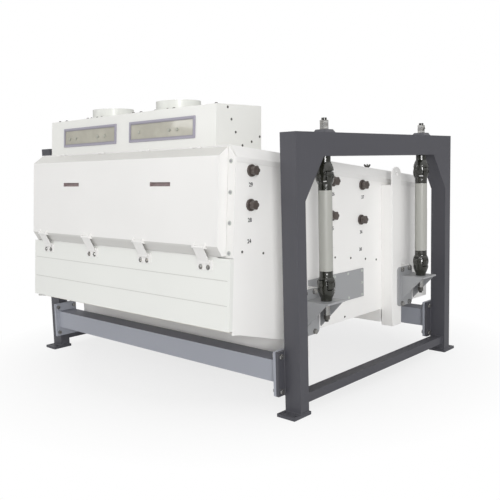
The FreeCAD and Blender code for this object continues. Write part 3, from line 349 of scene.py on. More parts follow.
@dataclass(frozen=True)
class ZincPlate:
    """Passivated zinc on bolts and small fittings, cloudy and slightly warm."""

    name: str
    colour: Colour
    roughness: float = 0.34

    def build(self) -> bpy.types.Material:
        """Return the material."""
        graph = SurfaceGraph(self.name)
        spangle = graph.make("ShaderNodeTexVoronoi", {}, {"Vector": graph.place, "Scale": 260.0}, "Color")
        cloud = graph.noise(40.0, 3.0)
        warm = tuple(c * f for c, f in zip(self.colour, (1.02, 0.98, 0.92)))
        tone = graph.blend(cloud.above(0.35, 0.75), opaque(self.colour), opaque(warm))
        level = graph.make("ShaderNodeRGBToBW", {}, {0: spangle})
        rough = self.roughness + (level - 0.5) * 0.10
        return graph.close({"Metallic": 0.9}, {"Base Color": tone, "Roughness": rough,
                                                "Normal": graph.bump(level, 0.00003)})


@dataclass(frozen=True)
class CastBlack:
    """Thick gloss enamel over a forged or cast surface."""

    name: str
    colour: Colour
    roughness: float = 0.24

    def build(self) -> bpy.types.Material:
        """Return the material."""
        graph = SurfaceGraph(self.name)
        cast = graph.noise(32.0, 2.5)
        wear = graph.noise(14.0, 5.0).above(0.62, 0.74)
        light = tuple(min(1.0, c * 2.2 + 0.02) for c in self.colour)
        tone = graph.blend(wear * 0.35, opaque(self.colour), opaque(light))
        return graph.close({"Coat Weight": 0.8, "Coat Roughness": 0.06},
                           {"Base Color": tone, "Roughness": self.roughness + wear * 0.2,
                            "Normal": graph.bump(cast, 0.006)})


@dataclass(frozen=True)
class MouldedPlastic:
    """Dark moulded plastic with a fine spark-eroded grain."""

    name: str
    colour: Colour
    roughness: float = 0.46

    def build(self) -> bpy.types.Material:
        """Return the material."""
        graph = SurfaceGraph(self.name)
        grain = graph.noise(900.0, 2.0)
        rub = graph.noise(30.0, 3.0)
        light = tuple(c * 1.5 + 0.01 for c in self.colour)
        tone = graph.blend(rub.above(0.5, 0.8) * 0.5, opaque(self.colour), opaque(light))
        return graph.close({}, {"Base Color": tone, "Roughness": self.roughness + (rub - 0.5) * 0.2,
                                "Normal": graph.bump(grain, 0.00008)})


@dataclass(frozen=True)
class ClearPane:
    """Clear plastic pane with a thin film of flour dust."""

    name: str
    colour: Colour
    alpha: float = 0.72

    def build(self) -> bpy.types.Material:
        """Return the material."""
        graph = SurfaceGraph(self.name)
        film = graph.noise(6.0, 5.0)
        pale = tuple(min(1.0, c * 1.25) for c in self.colour)
        tone = graph.blend(film.above(0.4, 0.8), opaque(self.colour), opaque(pale))
        return graph.close({"Coat Weight": 0.8, "Coat Roughness": 0.05, "IOR": 1.49},
                           {"Base Color": tone, "Roughness": 0.16 + film * 0.14,
                            "Alpha": self.alpha + (film - 0.5) * 0.2})


@dataclass(frozen=True)
class OiledWood:
    """Lacquered softwood of the sieve frames."""

    name: str
    colour: Colour

    def build(self) -> bpy.types.Material:
        """Return the material."""
        graph = SurfaceGraph(self.name)
        grain = graph.noise(1.0, 5.0, graph.stretched((40.0, 4.0, 60.0)))
        dark = tuple(c * 0.55 for c in self.colour)
        tone = graph.blend(grain.above(0.35, 0.7), opaque(self.colour), opaque(dark))
        return graph.close({}, {"Base Color": tone, "Roughness": 0.45 + (grain - 0.5) * 0.2,
                                "Normal": graph.bump(grain, 0.0003)})


class Palette:
    """Every material of the machine, made once."""

    def __init__(self) -> None:
        """Build the finishes."""
        self.white = SheetPaint("white_powder_coat", linear(233, 232, 230)).build()
        self.head_white = SheetPaint("head_powder_coat", linear(228, 228, 224)).build()
        self.panel_white = SheetPaint("panel_powder_coat", linear(230, 231, 227)).build()
        self.portal = SheetPaint("portal_enamel", linear(74, 74, 80), 0.46, 0.12, 0.06, 0.0003, 0.03).build()
        self.beam = SheetPaint("beam_enamel", linear(156, 159, 168), 0.44, 0.15, 0.05, 0.0003, 0.03).build()
        # Painted shade: a darker copy of the beam enamel for the tie beams' top faces.
        self.beam_top_shade = SheetPaint("beam_top_painted_shade", linear(108, 110, 120), 0.46, 0.12, 0.05, 0.0003, 0.03).build()
        self.bracket = SheetPaint("bracket_enamel", linear(156, 157, 159), 0.42, 0.15, 0.05, 0.0002, 0.05).build()
        self.motor = SheetPaint("motor_enamel", linear(86, 104, 124), 0.40, 0.3, 0.08, 0.0002, 0.15).build()
        self.trim = SheetPaint("window_trim", linear(158, 155, 168), 0.5, 0.0, 0.05, 0.0001, 0.05).build()
        self.shaft = SheetPaint("hanger_tube_coat", linear(166, 166, 160), 0.38, 0.25, 0.04, 0.0002, 0.0).build()
        self.sheet = BrushedSteel("stainless_sheet", linear(205, 204, 200), 0.34, (500.0, 30.0, 500.0)).build()
        self.zinc = ZincPlate("zinc_plate", linear(168, 168, 167), 0.22).build()
        self.dark_zinc = ZincPlate("dark_steel", linear(104, 103, 101), 0.40).build()
        self.black = CastBlack("black_enamel", linear(30, 31, 23), 0.16).build()
        self.knob = MouldedPlastic("knob_plastic", linear(80, 72, 68), 0.36).build()
        # Painted shade: a dark colour for the inside of the hood's grip cups.
        self.slot = MouldedPlastic("grip_cup_painted_shade", linear(146, 131, 131), 0.6).build()
        self.crease = SheetPaint("crease_shade", linear(206, 206, 202)).build()
        # Painted light: a lighter copy of the white powder coat for the side walls, the white posts and the side
        # pieces, which lie in the portals' shade.
        self.wall_lit_white = SheetPaint("wall_painted_light_white", linear(240, 239, 237)).build()
        # The base floor's paint: a real cream tint, made lighter as painted light against the shade under the machine.
        self.floor_cream_lit = SheetPaint("floor_sheet_cream_and_painted_light", linear(253, 247, 238)).build()
        # Painted shade: darker copies of the white powder coat for the hood's upward and downward bevels.
        self.hood_crown_shade = SheetPaint("hood_crown_painted_shade", linear(214, 213, 209)).build()
        self.hood_sill_shade = SheetPaint("hood_sill_painted_shade", linear(205, 204, 201)).build()
        self.washer = SheetPaint("pale_washer", linear(190, 194, 189)).build()
        # Painted shade: a darker copy of the white for the spouts, against the light that falls on them from above.
        self.spout_shaded_white = SheetPaint("spout_painted_shade", linear(221, 222, 217)).build()
        self.gasket = SheetPaint("window_gasket", linear(140, 137, 146)).build()
        self.haze = SheetPaint("screw_seen_through_pane", linear(168, 169, 159)).build()
        self.pane = ClearPane("clear_pane", linear(184, 181, 168), 0.84).build()
        self.wood = OiledWood("sieve_wood", linear(186, 150, 104)).build()
        self.mark = MouldedPlastic("printed_mark", linear(70, 70, 72), 0.5).build()


def link(name: str, mesh: bpy.types.Mesh) -> bpy.types.Object:
    """Put a mesh into the scene as an object at the origin."""
    piece = bpy.data.objects.new(name, mesh)
    bpy.context.scene.collection.objects.link(piece)
    return piece


def evaluated_mesh(piece: bpy.types.Object, name: str) -> bpy.types.Mesh:
    """Return a plain mesh of a piece with its modifiers worked in."""
    graph = bpy.context.evaluated_depsgraph_get()
    graph.update()
    mesh = bpy.data.meshes.new_from_object(piece.evaluated_get(graph), preserve_all_data_layers=True,
                                           depsgraph=graph)
    mesh.name = name
    return mesh


def settle(piece: bpy.types.Object) -> bpy.types.Object:
    """Replace a piece's mesh by its evaluated mesh and drop the modifiers."""
    mesh = evaluated_mesh(piece, piece.name + "_mesh")
    piece.modifiers.clear()
    piece.data = mesh
    return piece


def wear(piece: bpy.types.Object, material: bpy.types.Material) -> None:
    """Give a piece one material all over."""
    piece.data.materials.clear()
    piece.data.materials.append(material)


def smooth_by_angle(mesh: bpy.types.Mesh, degrees: float) -> None:
    """Shade a mesh smooth and keep the edges sharp that turn by more than an angle."""
    work = bmesh.new()
    work.from_mesh(mesh)
    for face in work.faces:
        face.smooth = True
    for edge in work.edges:
        edge.smooth = edge.calc_face_angle(0.0) <= math.radians(degrees)
    work.to_mesh(mesh)
    work.free()


@dataclass(frozen=True)
class Finish:
    """How a rounded piece is finished: its materials and what decides between them."""

    materials: tuple[bpy.types.Material, ...]
    width: float = 0.001
    segments: int = 2
    cuts: tuple[float, ...] = ()
    choose: Callable[[Vector], int] | None = None


class Dresser:
    """Finishes the CAD nodes: a material on each, and rounded copies of folded and welded ones."""

    def paint(self, node: str, material: bpy.types.Material) -> None:
        """Put a material on a CAD node."""
        wear(frame["nodes"][node], material)
        LOG.info("%s takes %s", node, material.name)

    def merged_copy(self, node: str, cuts: tuple[float, ...]) -> bpy.types.Object:
        """Copy a node's mesh with its vertices merged and its flat faces whole.

        Args:
            node: The CAD node.
            cuts: Heights at which faces are split, where the finish changes.

        Returns:
            The copy as an object of its own.
        """
        mesh = frame["nodes"][node].data.copy()
        if mesh.has_custom_normals:
            mesh.attributes.remove(mesh.attributes["custom_normal"])
        work = bmesh.new()
        work.from_mesh(mesh)
        bmesh.ops.remove_doubles(work, verts=work.verts, dist=2e-5)
        bmesh.ops.dissolve_limit(work, angle_limit=math.radians(1.0), verts=work.verts, edges=work.edges)
        for height in cuts:
            bmesh.ops.bisect_plane(work, geom=work.verts[:] + work.edges[:] + work.faces[:],
                                   plane_co=(0, 0, height), plane_no=(0, 0, 1))
        work.to_mesh(mesh)
        work.free()
        return link(node + "_rounded", mesh)

    def round_off(self, node: str, finish: Finish) -> bpy.types.Object:
        """Stand a copy with rounded edges in for a CAD node.

        Args:
            node: The CAD node.
            finish: Materials and rounding.

        Returns:
            The rounded piece.
        """
        piece = self.merged_copy(node, finish.cuts)
        bevel = piece.modifiers.new("edge", "BEVEL")
        bevel.width = finish.width
        bevel.segments = finish.segments
        bevel.limit_method = "ANGLE"
        bevel.angle_limit = math.radians(38)
        settle(piece)
        smooth_by_angle(piece.data, 40)
        shading = piece.modifiers.new("shading", "WEIGHTED_NORMAL")
        shading.mode = "FACE_AREA_WITH_ANGLE"
        shading.keep_sharp = True
        settle(piece)
        piece.data.materials.clear()
        for material in finish.materials:
            piece.data.materials.append(material)
        for face in piece.data.polygons:
            face.material_index = finish.choose(face.center) if finish.choose else 0
        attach(piece, frame["nodes"][node]["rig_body"])
        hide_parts(node)
        LOG.info("%s stands in for %s with %d faces", piece.name, node, len(piece.data.polygons))
        return piece


def set_input(modifier: bpy.types.Modifier, name: str, value: object) -> None:
    """Set a Geometry Nodes input by its socket's identifier."""
    for item in modifier.node_group.interface.items_tree:
        if item.item_type == "SOCKET" and item.in_out == "INPUT" and item.name == name:
            modifier[item.identifier] = value
            return
    raise KeyError(name)


def geometry_graph(name: str, inputs: dict[str, tuple[str, object]]) -> tuple[Graph, bpy.types.Node]:
    """Start a Geometry Nodes tree.

    Args:
        name: Name of the tree.
        inputs: Socket type and default value by input name.

    Returns:
        The graph and its Group Input node.
    """
    tree = bpy.data.node_groups.new(name, "GeometryNodeTree")
    tree.interface.new_socket("Geometry", in_out="INPUT", socket_type="NodeSocketGeometry")
    tree.interface.new_socket("Geometry", in_out="OUTPUT", socket_type="NodeSocketGeometry")
    for label, (kind, value) in inputs.items():
        socket = tree.interface.new_socket(label, in_out="INPUT", socket_type=kind)
        if value is not None:
            socket.default_value = value
    graph = Graph(tree)
    return graph, graph.node("NodeGroupInput")


@dataclass(frozen=True)
class ScrewKind:
    """One kind of screw: finish, corner radius of the head, its sides, and washer and height in head radii."""

    head_material: bpy.types.Material
    washer_material: bpy.types.Material
    head: float
    sides: int = 6
    washer: float = 1.45
    height: float = 0.65


class ScrewSet:
    """Hexagon screws with washers, set on points by a Geometry Nodes tree."""

    def __init__(self) -> None:
        """Build the tree."""
        graph, given = geometry_graph("hexagon_screws", {
            "Head Radius": ("NodeSocketFloat", 0.009), "Head Height": ("NodeSocketFloat", 0.006),
            "Washer Radius": ("NodeSocketFloat", 0.012), "Washer Height": ("NodeSocketFloat", 0.0015),
            "Sides": ("NodeSocketInt", 6), "Seed": ("NodeSocketInt", 3),
            "Head Material": ("NodeSocketMaterial", None), "Washer Material": ("NodeSocketMaterial", None)})
        out = given.outputs
        radius = Signal(graph, out["Head Radius"])
        height = Signal(graph, out["Head Height"])
        washer_height = Signal(graph, out["Washer Height"])
        washer = graph.make("GeometryNodeMeshCylinder", {}, {
            "Vertices": 28, "Radius": out["Washer Radius"], "Depth": out["Washer Height"]})
        head = graph.make("GeometryNodeMeshCylinder", {}, {
            "Vertices": out["Sides"], "Radius": radius, "Depth": height * 0.75})
        crown = graph.make("GeometryNodeMeshCone", {}, {
            "Vertices": out["Sides"], "Radius Bottom": radius, "Radius Top": radius * 0.78,
            "Depth": height * 0.25})
        lifts = ((washer, washer_height * 0.5, "Washer Material"),
                 (head, washer_height + height * 0.375, "Head Material"),
                 (crown, washer_height + height * 0.75, "Head Material"))
        parts = []
        for shape, lift, finish in lifts:
            offset = graph.make("ShaderNodeCombineXYZ", {}, {"Z": lift})
            moved = graph.make("GeometryNodeTransform", {}, {"Geometry": shape, "Translation": offset})
            parts.append(graph.make("GeometryNodeSetMaterial", {}, {"Geometry": moved, "Material": out[finish]}))
        joined = graph.node("GeometryNodeJoinGeometry")
        for part in parts:
            graph.tree.links.new(part.socket, joined.inputs[0])
        facing = graph.make("GeometryNodeInputNamedAttribute", {"data_type": "FLOAT_VECTOR"},
                            {"Name": "facing"})
        aligned = graph.make("FunctionNodeAlignRotationToVector", {"axis": "Z"}, {"Vector": facing})
        turn = graph.make("FunctionNodeRandomValue", {"data_type": "FLOAT"},
                          {2: 0.0, 3: math.pi, "Seed": out["Seed"]}, 1)
        spin = graph.make("FunctionNodeAxisAngleToRotation", {}, {"Axis": (0.0, 0.0, 1.0), "Angle": turn})
        rotation = graph.make("FunctionNodeRotateRotation", {"rotation_space": "LOCAL"},
                              {"Rotation": aligned, "Rotate By": spin})
        points = graph.make("GeometryNodeMeshToPoints", {}, {0: out["Geometry"]})
        placed = graph.make("GeometryNodeInstanceOnPoints", {}, {
            "Points": points, "Instance": joined.outputs[0], "Rotation": rotation})
        solid = graph.make("GeometryNodeRealizeInstances", {}, {0: placed})
        graph.node("NodeGroupOutput", {}, {0: solid})
        self.tree = graph.tree

    def place(self, name: str, body: Body, kind: "ScrewKind", seats: list[Seat]) -> bpy.types.Object:
        """Set screws on a list of seats.

        Args:
            name: Name of the piece.
            body: The body that the screws ride on.
            kind: Size, shape and finish of the screws.
            seats: Point and outward direction of each screw.

        Returns:
            The screws as one plain mesh.
        """
        mesh = bpy.data.meshes.new(name)
        mesh.from_pydata([tuple(at) for at, _ in seats], [], [])
        facing = mesh.attributes.new("facing", "FLOAT_VECTOR", "POINT")
        for entry, (_, direction) in zip(facing.data, seats):
            entry.vector = direction
        piece = link(name, mesh)
        modifier = piece.modifiers.new("screws", "NODES")
        modifier.node_group = self.tree
        set_input(modifier, "Head Radius", kind.head)
        set_input(modifier, "Head Height", kind.head * kind.height)
        set_input(modifier, "Washer Radius", kind.head * kind.washer)
        set_input(modifier, "Washer Height", kind.head * 0.16)
        set_input(modifier, "Sides", kind.sides)
        set_input(modifier, "Head Material", kind.head_material)
        set_input(modifier, "Washer Material", kind.washer_material)
        settle(piece)
        smooth_by_angle(piece.data, 30)
        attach(piece, body.value)
        LOG.info("%s: %d screws", name, len(seats))
        return piece


class WeldBeads:
    """Rippled weld beads along straight runs, laid by a Geometry Nodes tree."""

    def __init__(self) -> None:
        """Build the tree."""
        graph, given = geometry_graph("weld_beads", {
            "Radius": ("NodeSocketFloat", 0.004), "Spacing": ("NodeSocketFloat", 0.004),
            "Seed": ("NodeSocketInt", 5), "Material": ("NodeSocketMaterial", None)})
        out = given.outputs
        line = graph.make("GeometryNodeMeshToCurve", {}, {0: out["Geometry"]})
        steps = graph.make("GeometryNodeResampleCurve", {"mode": "LENGTH"},
                           {"Curve": line, "Length": out["Spacing"]})
        drop = graph.make("GeometryNodeMeshIcoSphere", {}, {"Radius": out["Radius"], "Subdivisions": 2})
        size = graph.make("FunctionNodeRandomValue", {"data_type": "FLOAT"},
                          {2: 0.82, 3: 1.12, "Seed": out["Seed"]}, 1)
        placed = graph.make("GeometryNodeInstanceOnPoints", {}, {"Points": steps, "Instance": drop, "Scale": size})
        solid = graph.make("GeometryNodeRealizeInstances", {}, {0: placed})
        smooth = graph.make("GeometryNodeSetShadeSmooth", {}, {"Geometry": solid})
        finished = graph.make("GeometryNodeSetMaterial", {}, {"Geometry": smooth, "Material": out["Material"]})
        graph.node("NodeGroupOutput", {}, {0: finished})
        self.tree = graph.tree

    def lay(self, name: str, body: Body, material: bpy.types.Material, runs: list[Seat],
            radius: float) -> bpy.types.Object:
        """Lay beads along a list of runs.

        Args:
            name: Name of the piece.
            body: The body that the beads ride on.
            material: Their finish.
            runs: First and last point of each run.
            radius: Radius of the bead in metres.

        Returns:
            The beads as one plain mesh.
        """
        mesh = bpy.data.meshes.new(name)
        points = [tuple(point) for run in runs for point in run]
        mesh.from_pydata(points, [(2 * i, 2 * i + 1) for i in range(len(runs))], [])
        piece = link(name, mesh)
        modifier = piece.modifiers.new("beads", "NODES")
        modifier.node_group = self.tree
        set_input(modifier, "Radius", radius)
        set_input(modifier, "Spacing", radius * 1.1)
        set_input(modifier, "Material", material)
        settle(piece)
        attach(piece, body.value)
        LOG.info("%s: %d runs", name, len(runs))
        return piece


def ring(corners: Iterable[Point]) -> list[Seat]:
    """Return the closed chain of runs through some corners."""
    points = [Vector(corner) for corner in corners]
    return list(zip(points, points[1:] + points[:1]))


def mirrored(items: list[Seat]) -> list[Seat]:
    """Return runs or seats together with their mirror images on the machine's left."""
    flip = Vector((-1, 1, 1))
    return items + [(first * flip, second * flip) for first, second in items]


@dataclass(frozen=True)
class Mark:
    """A plain number printed on a side wall."""

    text: str
    y: float
    z: float


class MarkSet:
    """Number marks on the side walls, made of text and turned into one mesh."""

    def __init__(self, wall_x: float, size: float, material: bpy.types.Material) -> None:
        """Keep the wall's place, the height of the figures and their finish."""
        self.wall_x = wall_x
        self.size = size
        self.material = material

    def figure(self, mark: Mark, side: int) -> bpy.types.Mesh:
        """Make one number on one side.

        Args:
            mark: The number and its place.
            side: 1 for the right wall and -1 for the left one.

        Returns:
            The number's mesh, in its place.
        """
        curve = bpy.data.curves.new("mark", "FONT")
        curve.body = mark.text
        curve.size = self.size
        curve.align_x = "CENTER"
        curve.align_y = "CENTER"
        curve.offset = self.size * 0.035
        curve.extrude = 0.0001
        curve.resolution_u = 3
        holder = link("mark", curve)
        mesh = evaluated_mesh(holder, "mark_mesh")
        bpy.data.objects.remove(holder)
        axes = Matrix((Vector((0, side, 0)), Vector((0, 0, 1)), Vector((side, 0, 0)))).transposed().to_4x4()
        mesh.transform(Matrix.Translation((side * (self.wall_x + 0.0001), mark.y, mark.z)) @ axes)
        return mesh

    def print_on(self, name: str, body: Body, marks: list[Mark]) -> bpy.types.Object:
        """Print the marks on both walls as one piece."""
        work = bmesh.new()
        for side in (1, -1):
            for mark in marks:
                work.from_mesh(self.figure(mark, side))
        mesh = bpy.data.meshes.new(name)
        work.to_mesh(mesh)
        work.free()
        piece = link(name, mesh)
        wear(piece, self.material)
        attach(piece, body.value)
        LOG.info("%s: %d marks a side", name, len(marks))
        return piece


def add_rod(work: bmesh.types.BMesh, base: Vector, axis: Vector, radii: tuple[float, float],
            length: float, sides: int = 24) -> None:
    """Add a closed round rod or cone.

    Args:
        work: The mesh that takes it.
        base: Middle of the foot.
        axis: Direction that it stands in.
        radii: Radius at the foot and at the top.
        length: Its length.
        sides: Facets round it.
    """
    turn = Vector((0, 0, 1)).rotation_difference(axis).to_matrix().to_4x4()
    place = Matrix.Translation(base + axis * length / 2) @ turn
    bmesh.ops.create_cone(work, cap_ends=True, segments=sides, radius1=radii[0], radius2=radii[1],
                          depth=length, matrix=place)


def wing_nut(seat: Seat, size: float) -> bpy.types.Mesh:
    """Make a wing nut with its washer and stud.

    Args:
        seat: Point on the sheet and the sheet's outward direction.
        size: Span of the wings in metres.

    Returns:
        The wing nut's mesh, in its place.
    """
    base, up = seat
    work = bmesh.new()
    add_rod(work, base, up, (size * 0.26, size * 0.26), size * 0.04)
    add_rod(work, base + up * size * 0.04, up, (size * 0.17, size * 0.12), size * 0.2)
    add_rod(work, base + up * size * 0.24, up, (size * 0.06, size * 0.06), size * 0.14, 16)
    for side in (-1, 1):
        across = Vector((0, 1, 0)) * side
        tilt = (across + up * 0.55).normalized()
        wing = bmesh.ops.create_uvsphere(work, u_segments=16, v_segments=8, radius=1.0)["verts"]
        axes = Matrix((tilt, up.cross(across), tilt.cross(up.cross(across)))).transposed().to_4x4()
        middle = base + up * size * 0.24 + across * size * 0.3
        stretch = Matrix.Diagonal((size * 0.22, size * 0.045, size * 0.11, 1.0))
        bmesh.ops.transform(work, matrix=Matrix.Translation(middle) @ axes @ stretch, verts=wing)
    bmesh.ops.recalc_face_normals(work, faces=work.faces)
    mesh = bpy.data.meshes.new("wing_nut")
    work.to_mesh(mesh)
    work.free()
    return mesh


def plate(x0: float, x1: float, z0: float, z1: float) -> Outline:
    """Return the outline of a rectangle from x0 to x1 and from z0 to z1."""
    return [(x0, z0), (x1, z0), (x1, z1), (x0, z1)]


@dataclass
class FrontPlane:
    """The leaning plane of the box's front, for pieces that sit on it."""

    foot: Vector
    lean: float

    @property
    def outward(self) -> Vector:
        """Direction that the front faces."""
        return Vector((0.0, -math.cos(self.lean), math.sin(self.lean)))

    @property
    def along(self) -> Vector:
        """Direction up the front."""
        return Vector((0.0, math.sin(self.lean), math.cos(self.lean)))

    def seat(self, x: float, height: float, depth: float) -> Seat:
        """Find a seat on the front.

        Args:
            x: Place across the front.
            height: Height above the floor.
            depth: Distance that the seat stands in front of the plane.

        Returns:
            The seat's point and its outward direction.
        """
        run = (height - self.foot.z) / math.cos(self.lean)
        return Vector((x, self.foot.y, self.foot.z)) + self.along * run + self.outward * depth, self.outward

    def read(self, point: Vector) -> tuple[float, float]:
        """Return how far up the front a point lies, and how far in front of it."""
        return (point - self.foot).dot(self.along), (point - self.foot).dot(self.outward)


@dataclass
class Separator:
    """The dressed machine."""

    palette: Palette
    half_width: float = 1.095
    plate_x: float = 1.105
    grip_x: float = 0.505
    hanger_y: float = 0.600
    post_y: tuple[float, float] = (-0.688, 0.465)

    def __post_init__(self) -> None:
        """Set the front planes and the helpers."""
        self.front = FrontPlane(Vector((0.0, -1.232, 0.520)), math.radians(4.457))
        self.head = FrontPlane(Vector((0.0, -1.1348, 1.690)), math.radians(4.457))
        self.dresser = Dresser()
        self.screws = ScrewSet()
        self.beads = WeldBeads()
        p = self.palette
        self.keeper_screw = ScrewKind(p.zinc, p.zinc, 0.0105, 6, 1.55)
        self.strip_screw = ScrewKind(p.bracket, p.washer, 0.0085, 6, 1.7)
        self.small_screw = ScrewKind(p.dark_zinc, p.zinc, 0.0060, 6, 1.35)

    def roof_height(self, y: float) -> float:
        """Return the height of the sloping roof at a place along the machine."""
        return 1.606 - (y + 0.865) * math.tan(math.radians(6.3))

    def in_grip(self, point: Vector) -> int:
        """Return 1 for a point inside one of the hood's grip cups, which take painted shade, and otherwise 0."""
        up, out = self.front.read(point)
        inside = abs(abs(point.x) - self.grip_x) < 0.1035 and abs(up - 0.8877) < 0.0165
        return int(inside and 0.0525 < out < 0.0797)

    def hood_part(self, point: Vector) -> int:
        """Return the material slot for a point on the hood: 1 in a grip, 2 on the crown bevel, 3 on the foot bevel,
        else 0; slots 1 to 3 hold painted shade.
        """
        up, out = self.front.read(point)
        if abs(point.x) > 0.92 or not 0.014 < out < 0.0793:
            return 0
        if self.in_grip(point):
            return 1
        height = point.z
        return 2 if height > 1.571 else 3 if height < 1.039 else 0

    def in_crease(self, point: Vector) -> int:
        """Return 1 for a point at the bottom of a crease of the lower front panel, and otherwise 0."""
        return int(0.0281 < self.front.read(point)[1] < 0.0293)

    def on_beam_top(self, point: Vector) -> int:
        """Return 1 for a point on the top face of a tie beam, which takes a darker painted shade, and otherwise 0."""
        return int(abs(point.x) < 1.21 and point.z > 0.3322)

    def finish_nodes(self) -> None:
        """Put the plain finishes on the nodes that are seen little."""
        p = self.palette
        plain = {"window_panes": p.pane, "upper_sieves": p.wood, "lower_sieves": p.wood,
                 "sieve_supports": p.sheet, "bottom_pan": p.sheet}
        for node, material in plain.items():
            self.dresser.paint(node, material)

    def round_nodes(self) -> None:
        """Round the edges of tubes, folded sheets, forgings and fittings."""
        p = self.palette
        jobs = {
            "portal_frame_left": Finish((p.portal,), 0.005, 3), "portal_frame_right": Finish((p.portal,), 0.005, 3),
            # The top faces of the tie beams take painted shade.
            "front_tie_beam": Finish((p.beam, p.beam_top_shade), 0.004, 3, (), self.on_beam_top),
            "rear_tie_beam": Finish((p.beam, p.beam_top_shade), 0.004, 3, (), self.on_beam_top),
            # The side walls, the white posts and the side pieces take the lighter white: painted light.
            "frame_fasteners": Finish((p.zinc,), 0.0016, 3), "support_frame": Finish((p.wall_lit_white,), 0.003, 3),
            "hanger_brackets": Finish((p.bracket,), 0.0015),
            "bracket_fasteners": Finish((p.zinc, p.dark_zinc), 0.001, 2, (), lambda at: int(0.52 < at.z < 0.5605)),
            "upper_hanger_yokes": Finish((p.black,), 0.003, 3), "lower_hanger_yokes": Finish((p.black,), 0.003, 3),
            "side_reinforcements": Finish((p.wall_lit_white, p.bracket), 0.001, 2, (),
                                          lambda at: int(abs(at.x) < self.plate_x + 0.0005)),
            "side_wall_right": Finish((p.wall_lit_white,)), "side_wall_left": Finish((p.wall_lit_white,)),
            # The base floor takes the cream paint lightened as painted light.
            "front_frame": Finish((p.white,)), "rear_panel": Finish((p.white,)), "base_floor": Finish((p.floor_cream_lit,)),
            "top_cover": Finish((p.white,), 0.0012),
            "front_panel": Finish((p.panel_white, p.crease), 0.0006, 2, (), self.in_crease),
            # The spouts take the darker white: painted shade.
            "inlet_head": Finish((p.head_white,), 0.0012), "inlet_spouts": Finish((p.spout_shaded_white,), 0.0008),
            "window_frames": Finish((p.trim,), 0.0015), "discharge_head": Finish((p.white,), 0.0012),
            # The hood's grip cups and its crown and foot bevels take painted shade.
            "access_hood": Finish((p.white, p.slot, p.hood_crown_shade, p.hood_sill_shade), 0.001, 2, (), self.hood_part),
            "hood_fittings": Finish((p.white,), 0.0006), "knob_flanges": Finish((p.knob,), 0.0015, 3),
            "drive_motor": Finish((p.motor,), 0.0015), "unbalance_weight": Finish((p.black,), 0.0015)}
        tube_ends = (0.844, 1.348)
        for node in frame["nodes"]:
            if node.startswith(("upper_cross", "lower_cross")):
                jobs[node] = Finish((p.black,), 0.002)
            elif node.startswith("hanger_shaft"):
                jobs[node] = Finish((p.black, p.shaft), 0.003, 3, tube_ends,
                                    lambda at: int(tube_ends[0] < at.z < tube_ends[1]))
            elif node.startswith("latch_"):
                jobs[node] = Finish((p.white,), 0.0008)
            elif node.startswith("knob_") and node != "knob_flanges":
                jobs[node] = Finish((p.knob,), 0.002, 3)
        for node, finish in jobs.items():
            self.dresser.round_off(node, finish)

    def set_front_screws(self) -> None:
        """Set the screws of the side strips and of the latch keepers."""
        strips = [self.front.seat(side * 1.058, z, 0.006) for side in (-1, 1) for z in (1.541, 1.360, 1.180, 1.003)]
        self.screws.place("front_strip_screws", Body.BOX, self.strip_screw, strips)
        keepers = [self.front.seat(x + dx, 0.910, 0.036) for x in (-0.882, -0.298, 0.298, 0.882)
                   for dx in (-0.033, 0.033)]
        self.screws.place("latch_keeper_screws", Body.BOX, self.keeper_screw, keepers)

    def set_head_screws(self) -> None:
        """Set the screws on the inlet head: its sides, its top front edge, the spout collars and the panes."""
        out = Vector((1, 0, 0))
        sides = [(Vector((0.915, y, z)), out) for y, z in
                 ((-1.027, 1.868), (-0.998, 1.796), (-0.964, 1.719), (-0.822, 1.662), (-0.907, 1.638), (-0.745, 1.694))]
        self.screws.place("head_side_screws", Body.BOX, self.small_screw, mirrored(sides))
        up = Vector((0, 0, 1))
        edge = [(Vector((x, -1.104, 1.887)), up) for x in (-0.822, -0.726, -0.450, -0.328, 0.094, 0.176, 0.511, 0.896)]
        self.screws.place("head_edge_screws", Body.BOX, ScrewKind(self.palette.dark_zinc, self.palette.zinc, 0.0085), edge)
        collars = []
        for x in (-0.365, 0.365):
            for step in range(8):
                angle = math.radians(22.5 + 45 * step)
                spot = Vector((x + 0.1635 * math.cos(angle), -0.935 + 0.1635 * math.sin(angle), 1.892))
                collars.append((spot, up))
        self.screws.place("spout_collar_screws", Body.BOX, self.small_screw, collars)
        inside = [self.head.seat(x, z, 0.0022)
                  for x, z in ((-0.654, 1.749), (-0.573, 1.751), (-0.297, 1.750), (-0.212, 1.751),
                               (0.181, 1.753), (0.489, 1.752), (0.566, 1.751))]
        self.screws.place("pane_screws", Body.BOX, ScrewKind(self.palette.haze, self.palette.haze, 0.0095, 24, 1.3),
                          inside)

    def set_side_screws(self) -> None:
        """Set the small screws of the side walls, the stiffening plates and the rear edges."""
        out = Vector((1, 0, 0))
        wall = [(Vector((self.half_width, y, z)), out) for y, z in
                ((-1.127, 1.006), (-0.939, 0.978), (-0.194, 0.865), (-0.004, 0.839), (0.185, 0.810), (0.330, 0.788),
                 (0.600, 0.748), (-0.085, 0.424), (1.078, 1.265), (1.078, 1.177), (1.078, 1.011))]
        self.screws.place("wall_screws", Body.BOX, self.small_screw, mirrored(wall))
        plate = [(Vector((self.plate_x, y, z)), out) for y, z in
                 ((-0.211, 0.732), (-0.054, 0.732), (0.122, 0.732), (0.122, 0.645), (0.122, 0.556), (-0.045, 0.556))]
        self.screws.place("side_plate_screws", Body.BOX, ScrewKind(self.palette.washer, self.palette.washer, 0.0070),
                          mirrored(plate))

